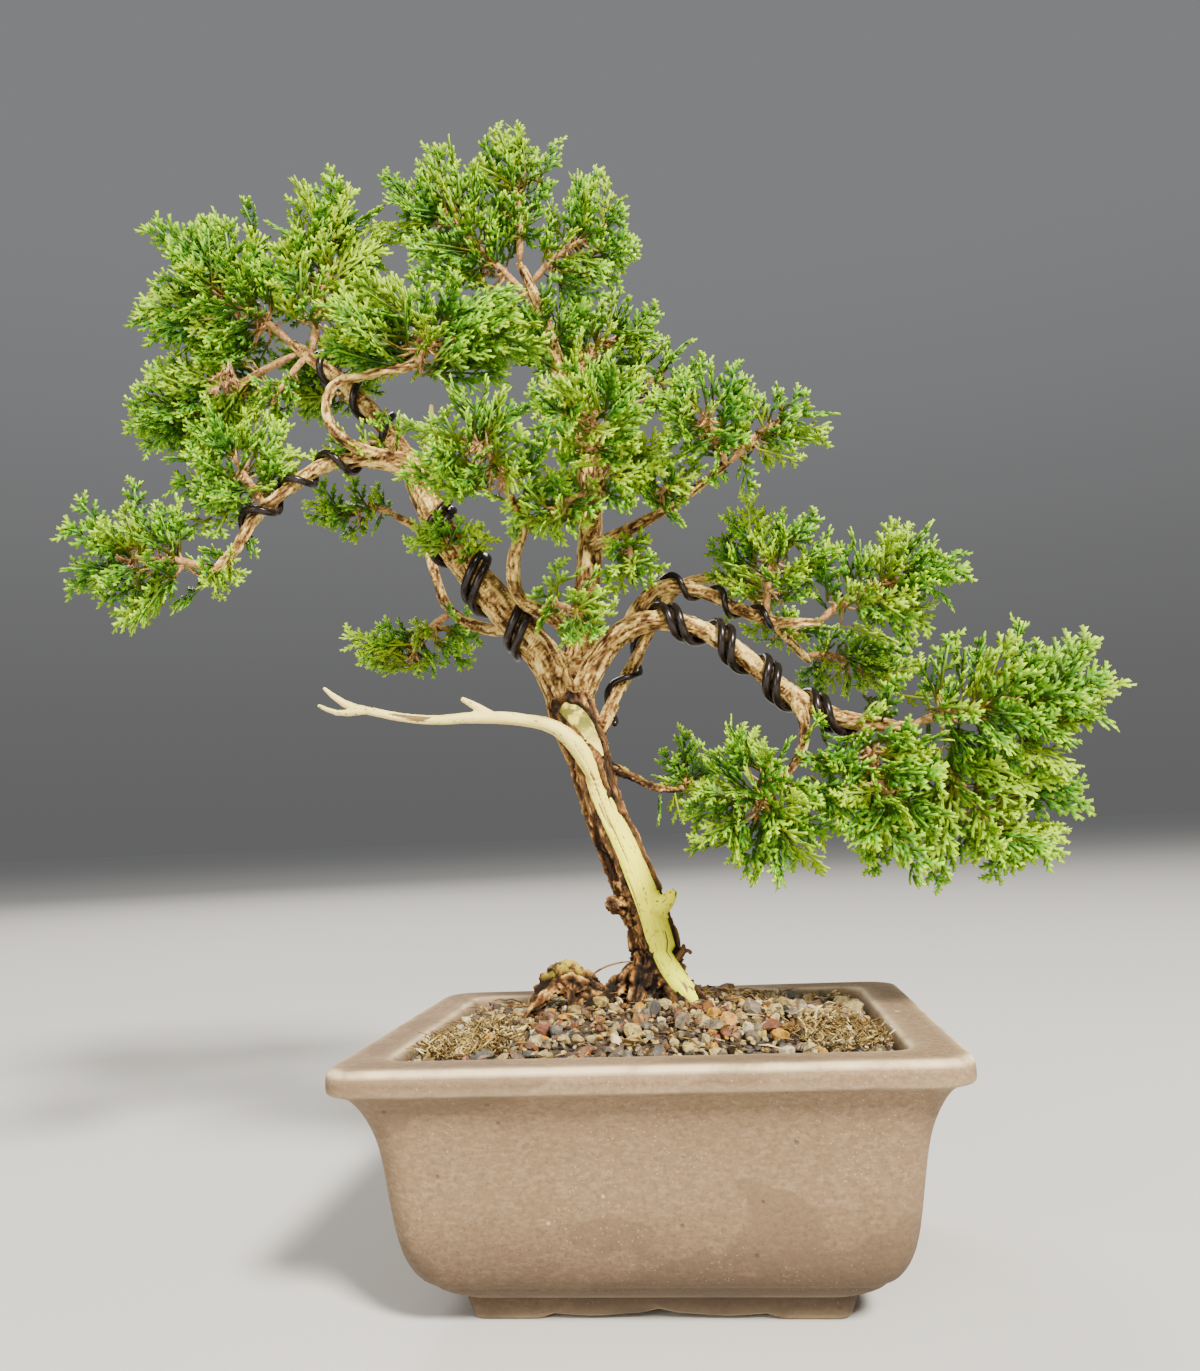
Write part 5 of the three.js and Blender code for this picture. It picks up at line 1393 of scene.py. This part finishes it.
FLOOR_HALF_METRES = 40


def make_floor():
    bm = bmesh.new()
    bmesh.ops.create_grid(bm, x_segments=1, y_segments=1, size=FLOOR_HALF_METRES)
    floor = finished_object("floor", to_mesh(bm, "floor"))
    floor.data.materials.append(floor_material())


# The photograph's viewpoint: its place in millimetres, its turns, and its focal length in pixels.
CAMERA = {"at": (23.21, -350.87, 124.57), "yaw": -0.102, "pitch": 0.129, "roll": -0.042, "focal": 1138.22}
PHOTO_LONG_SIDE = 1371
SENSOR = 36


def make_camera():
    yaw, pitch, roll = CAMERA["yaw"], CAMERA["pitch"], CAMERA["roll"]
    ahead = Vector((math.sin(yaw) * math.cos(pitch), math.cos(yaw) * math.cos(pitch), math.sin(pitch)))
    level = Vector((math.cos(yaw), -math.sin(yaw), 0))
    above = level.cross(ahead)
    right = level * math.cos(roll) + above * math.sin(roll)
    up = above * math.cos(roll) - level * math.sin(roll)
    lens = bpy.data.cameras.new("camera")
    lens.sensor_width = SENSOR
    lens.lens = SENSOR * CAMERA["focal"] / PHOTO_LONG_SIDE
    camera = bpy.data.objects.new("camera", lens)
    camera.matrix_world = Matrix.Translation(TO_FRAME @ Vector(CAMERA["at"])) @ Matrix(
        (right, up, -ahead)).transposed().to_4x4()
    bpy.context.scene.collection.objects.link(camera)
    bpy.context.scene.camera = camera


# Studio lights: place in metres, power in watts and size in metres. All face the middle of the tree.
LIGHTS = {
    "key": ((1.25, -1.9, 2.0), 285, 0.5),
    "fill": ((-1.1, -2.1, 0.8), 32, 1.2),
    "rim": ((-0.9, 1.8, 1.8), 42, 1.0),
}
LIGHT_TARGET = (0, 0, 0.18)
LIGHT_COLOR = (1, 0.93, 0.82)
WORLD_STRENGTH = 0.26


def make_lights():
    for name, (at, power, size) in LIGHTS.items():
        data = bpy.data.lights.new(name, "AREA")
        data.energy = power
        data.color = LIGHT_COLOR
        data.size = size
        lamp = bpy.data.objects.new(name, data)
        lamp.location = at
        lamp.rotation_euler = (Vector(LIGHT_TARGET) - Vector(at)).to_track_quat("-Z", "Y").to_euler()
        bpy.context.scene.collection.objects.link(lamp)


def make_world():
    world = bpy.data.worlds.new("studio")
    world.use_nodes = True
    graph = Graph(world.node_tree)
    facing = graph.add("ShaderNodeTexCoord").outputs["Generated"]
    height = graph.add("ShaderNodeSeparateXYZ", {0: facing}).outputs["Z"]
    sky = graph.mix(graph.spread(height, 0, 0.5), rgb(0.5, 0.5, 0.5), rgb(0.84, 0.85, 0.87))
    background = world.node_tree.nodes["Background"]
    world.node_tree.links.new(sky, background.inputs["Color"])
    background.inputs["Strength"].default_value = WORLD_STRENGTH
    bpy.context.scene.world = world


# The drain screens keep their solids, and only get their plastic.
def finish_screens(materials):
    for side in ("left", "right"):
        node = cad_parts[f"drain_screen_{side}"]
        node.data.materials.clear()
        node.data.materials.append(materials["screen"])


def main():
    make_wood_fibres()
    make_moss_growth()
    materials = {
        "clay": clay_material(), "bark": bark_material(), "deadwood": deadwood_material(),
        "wire": wire_material(), "foliage": foliage_material(), "twig": twig_material(),
        "dry": dry_material(), "stone": stone_material(), "litter": litter_material(),
        "soil": soil_material(), "screen": screen_material(),
    }
    for make in (make_wood, make_pot, make_soil, make_stones, make_litter, make_wires, make_foliage,
                 finish_screens):
        make(materials)
    make_floor()
    make_camera()
    make_world()
    make_lights()


main()
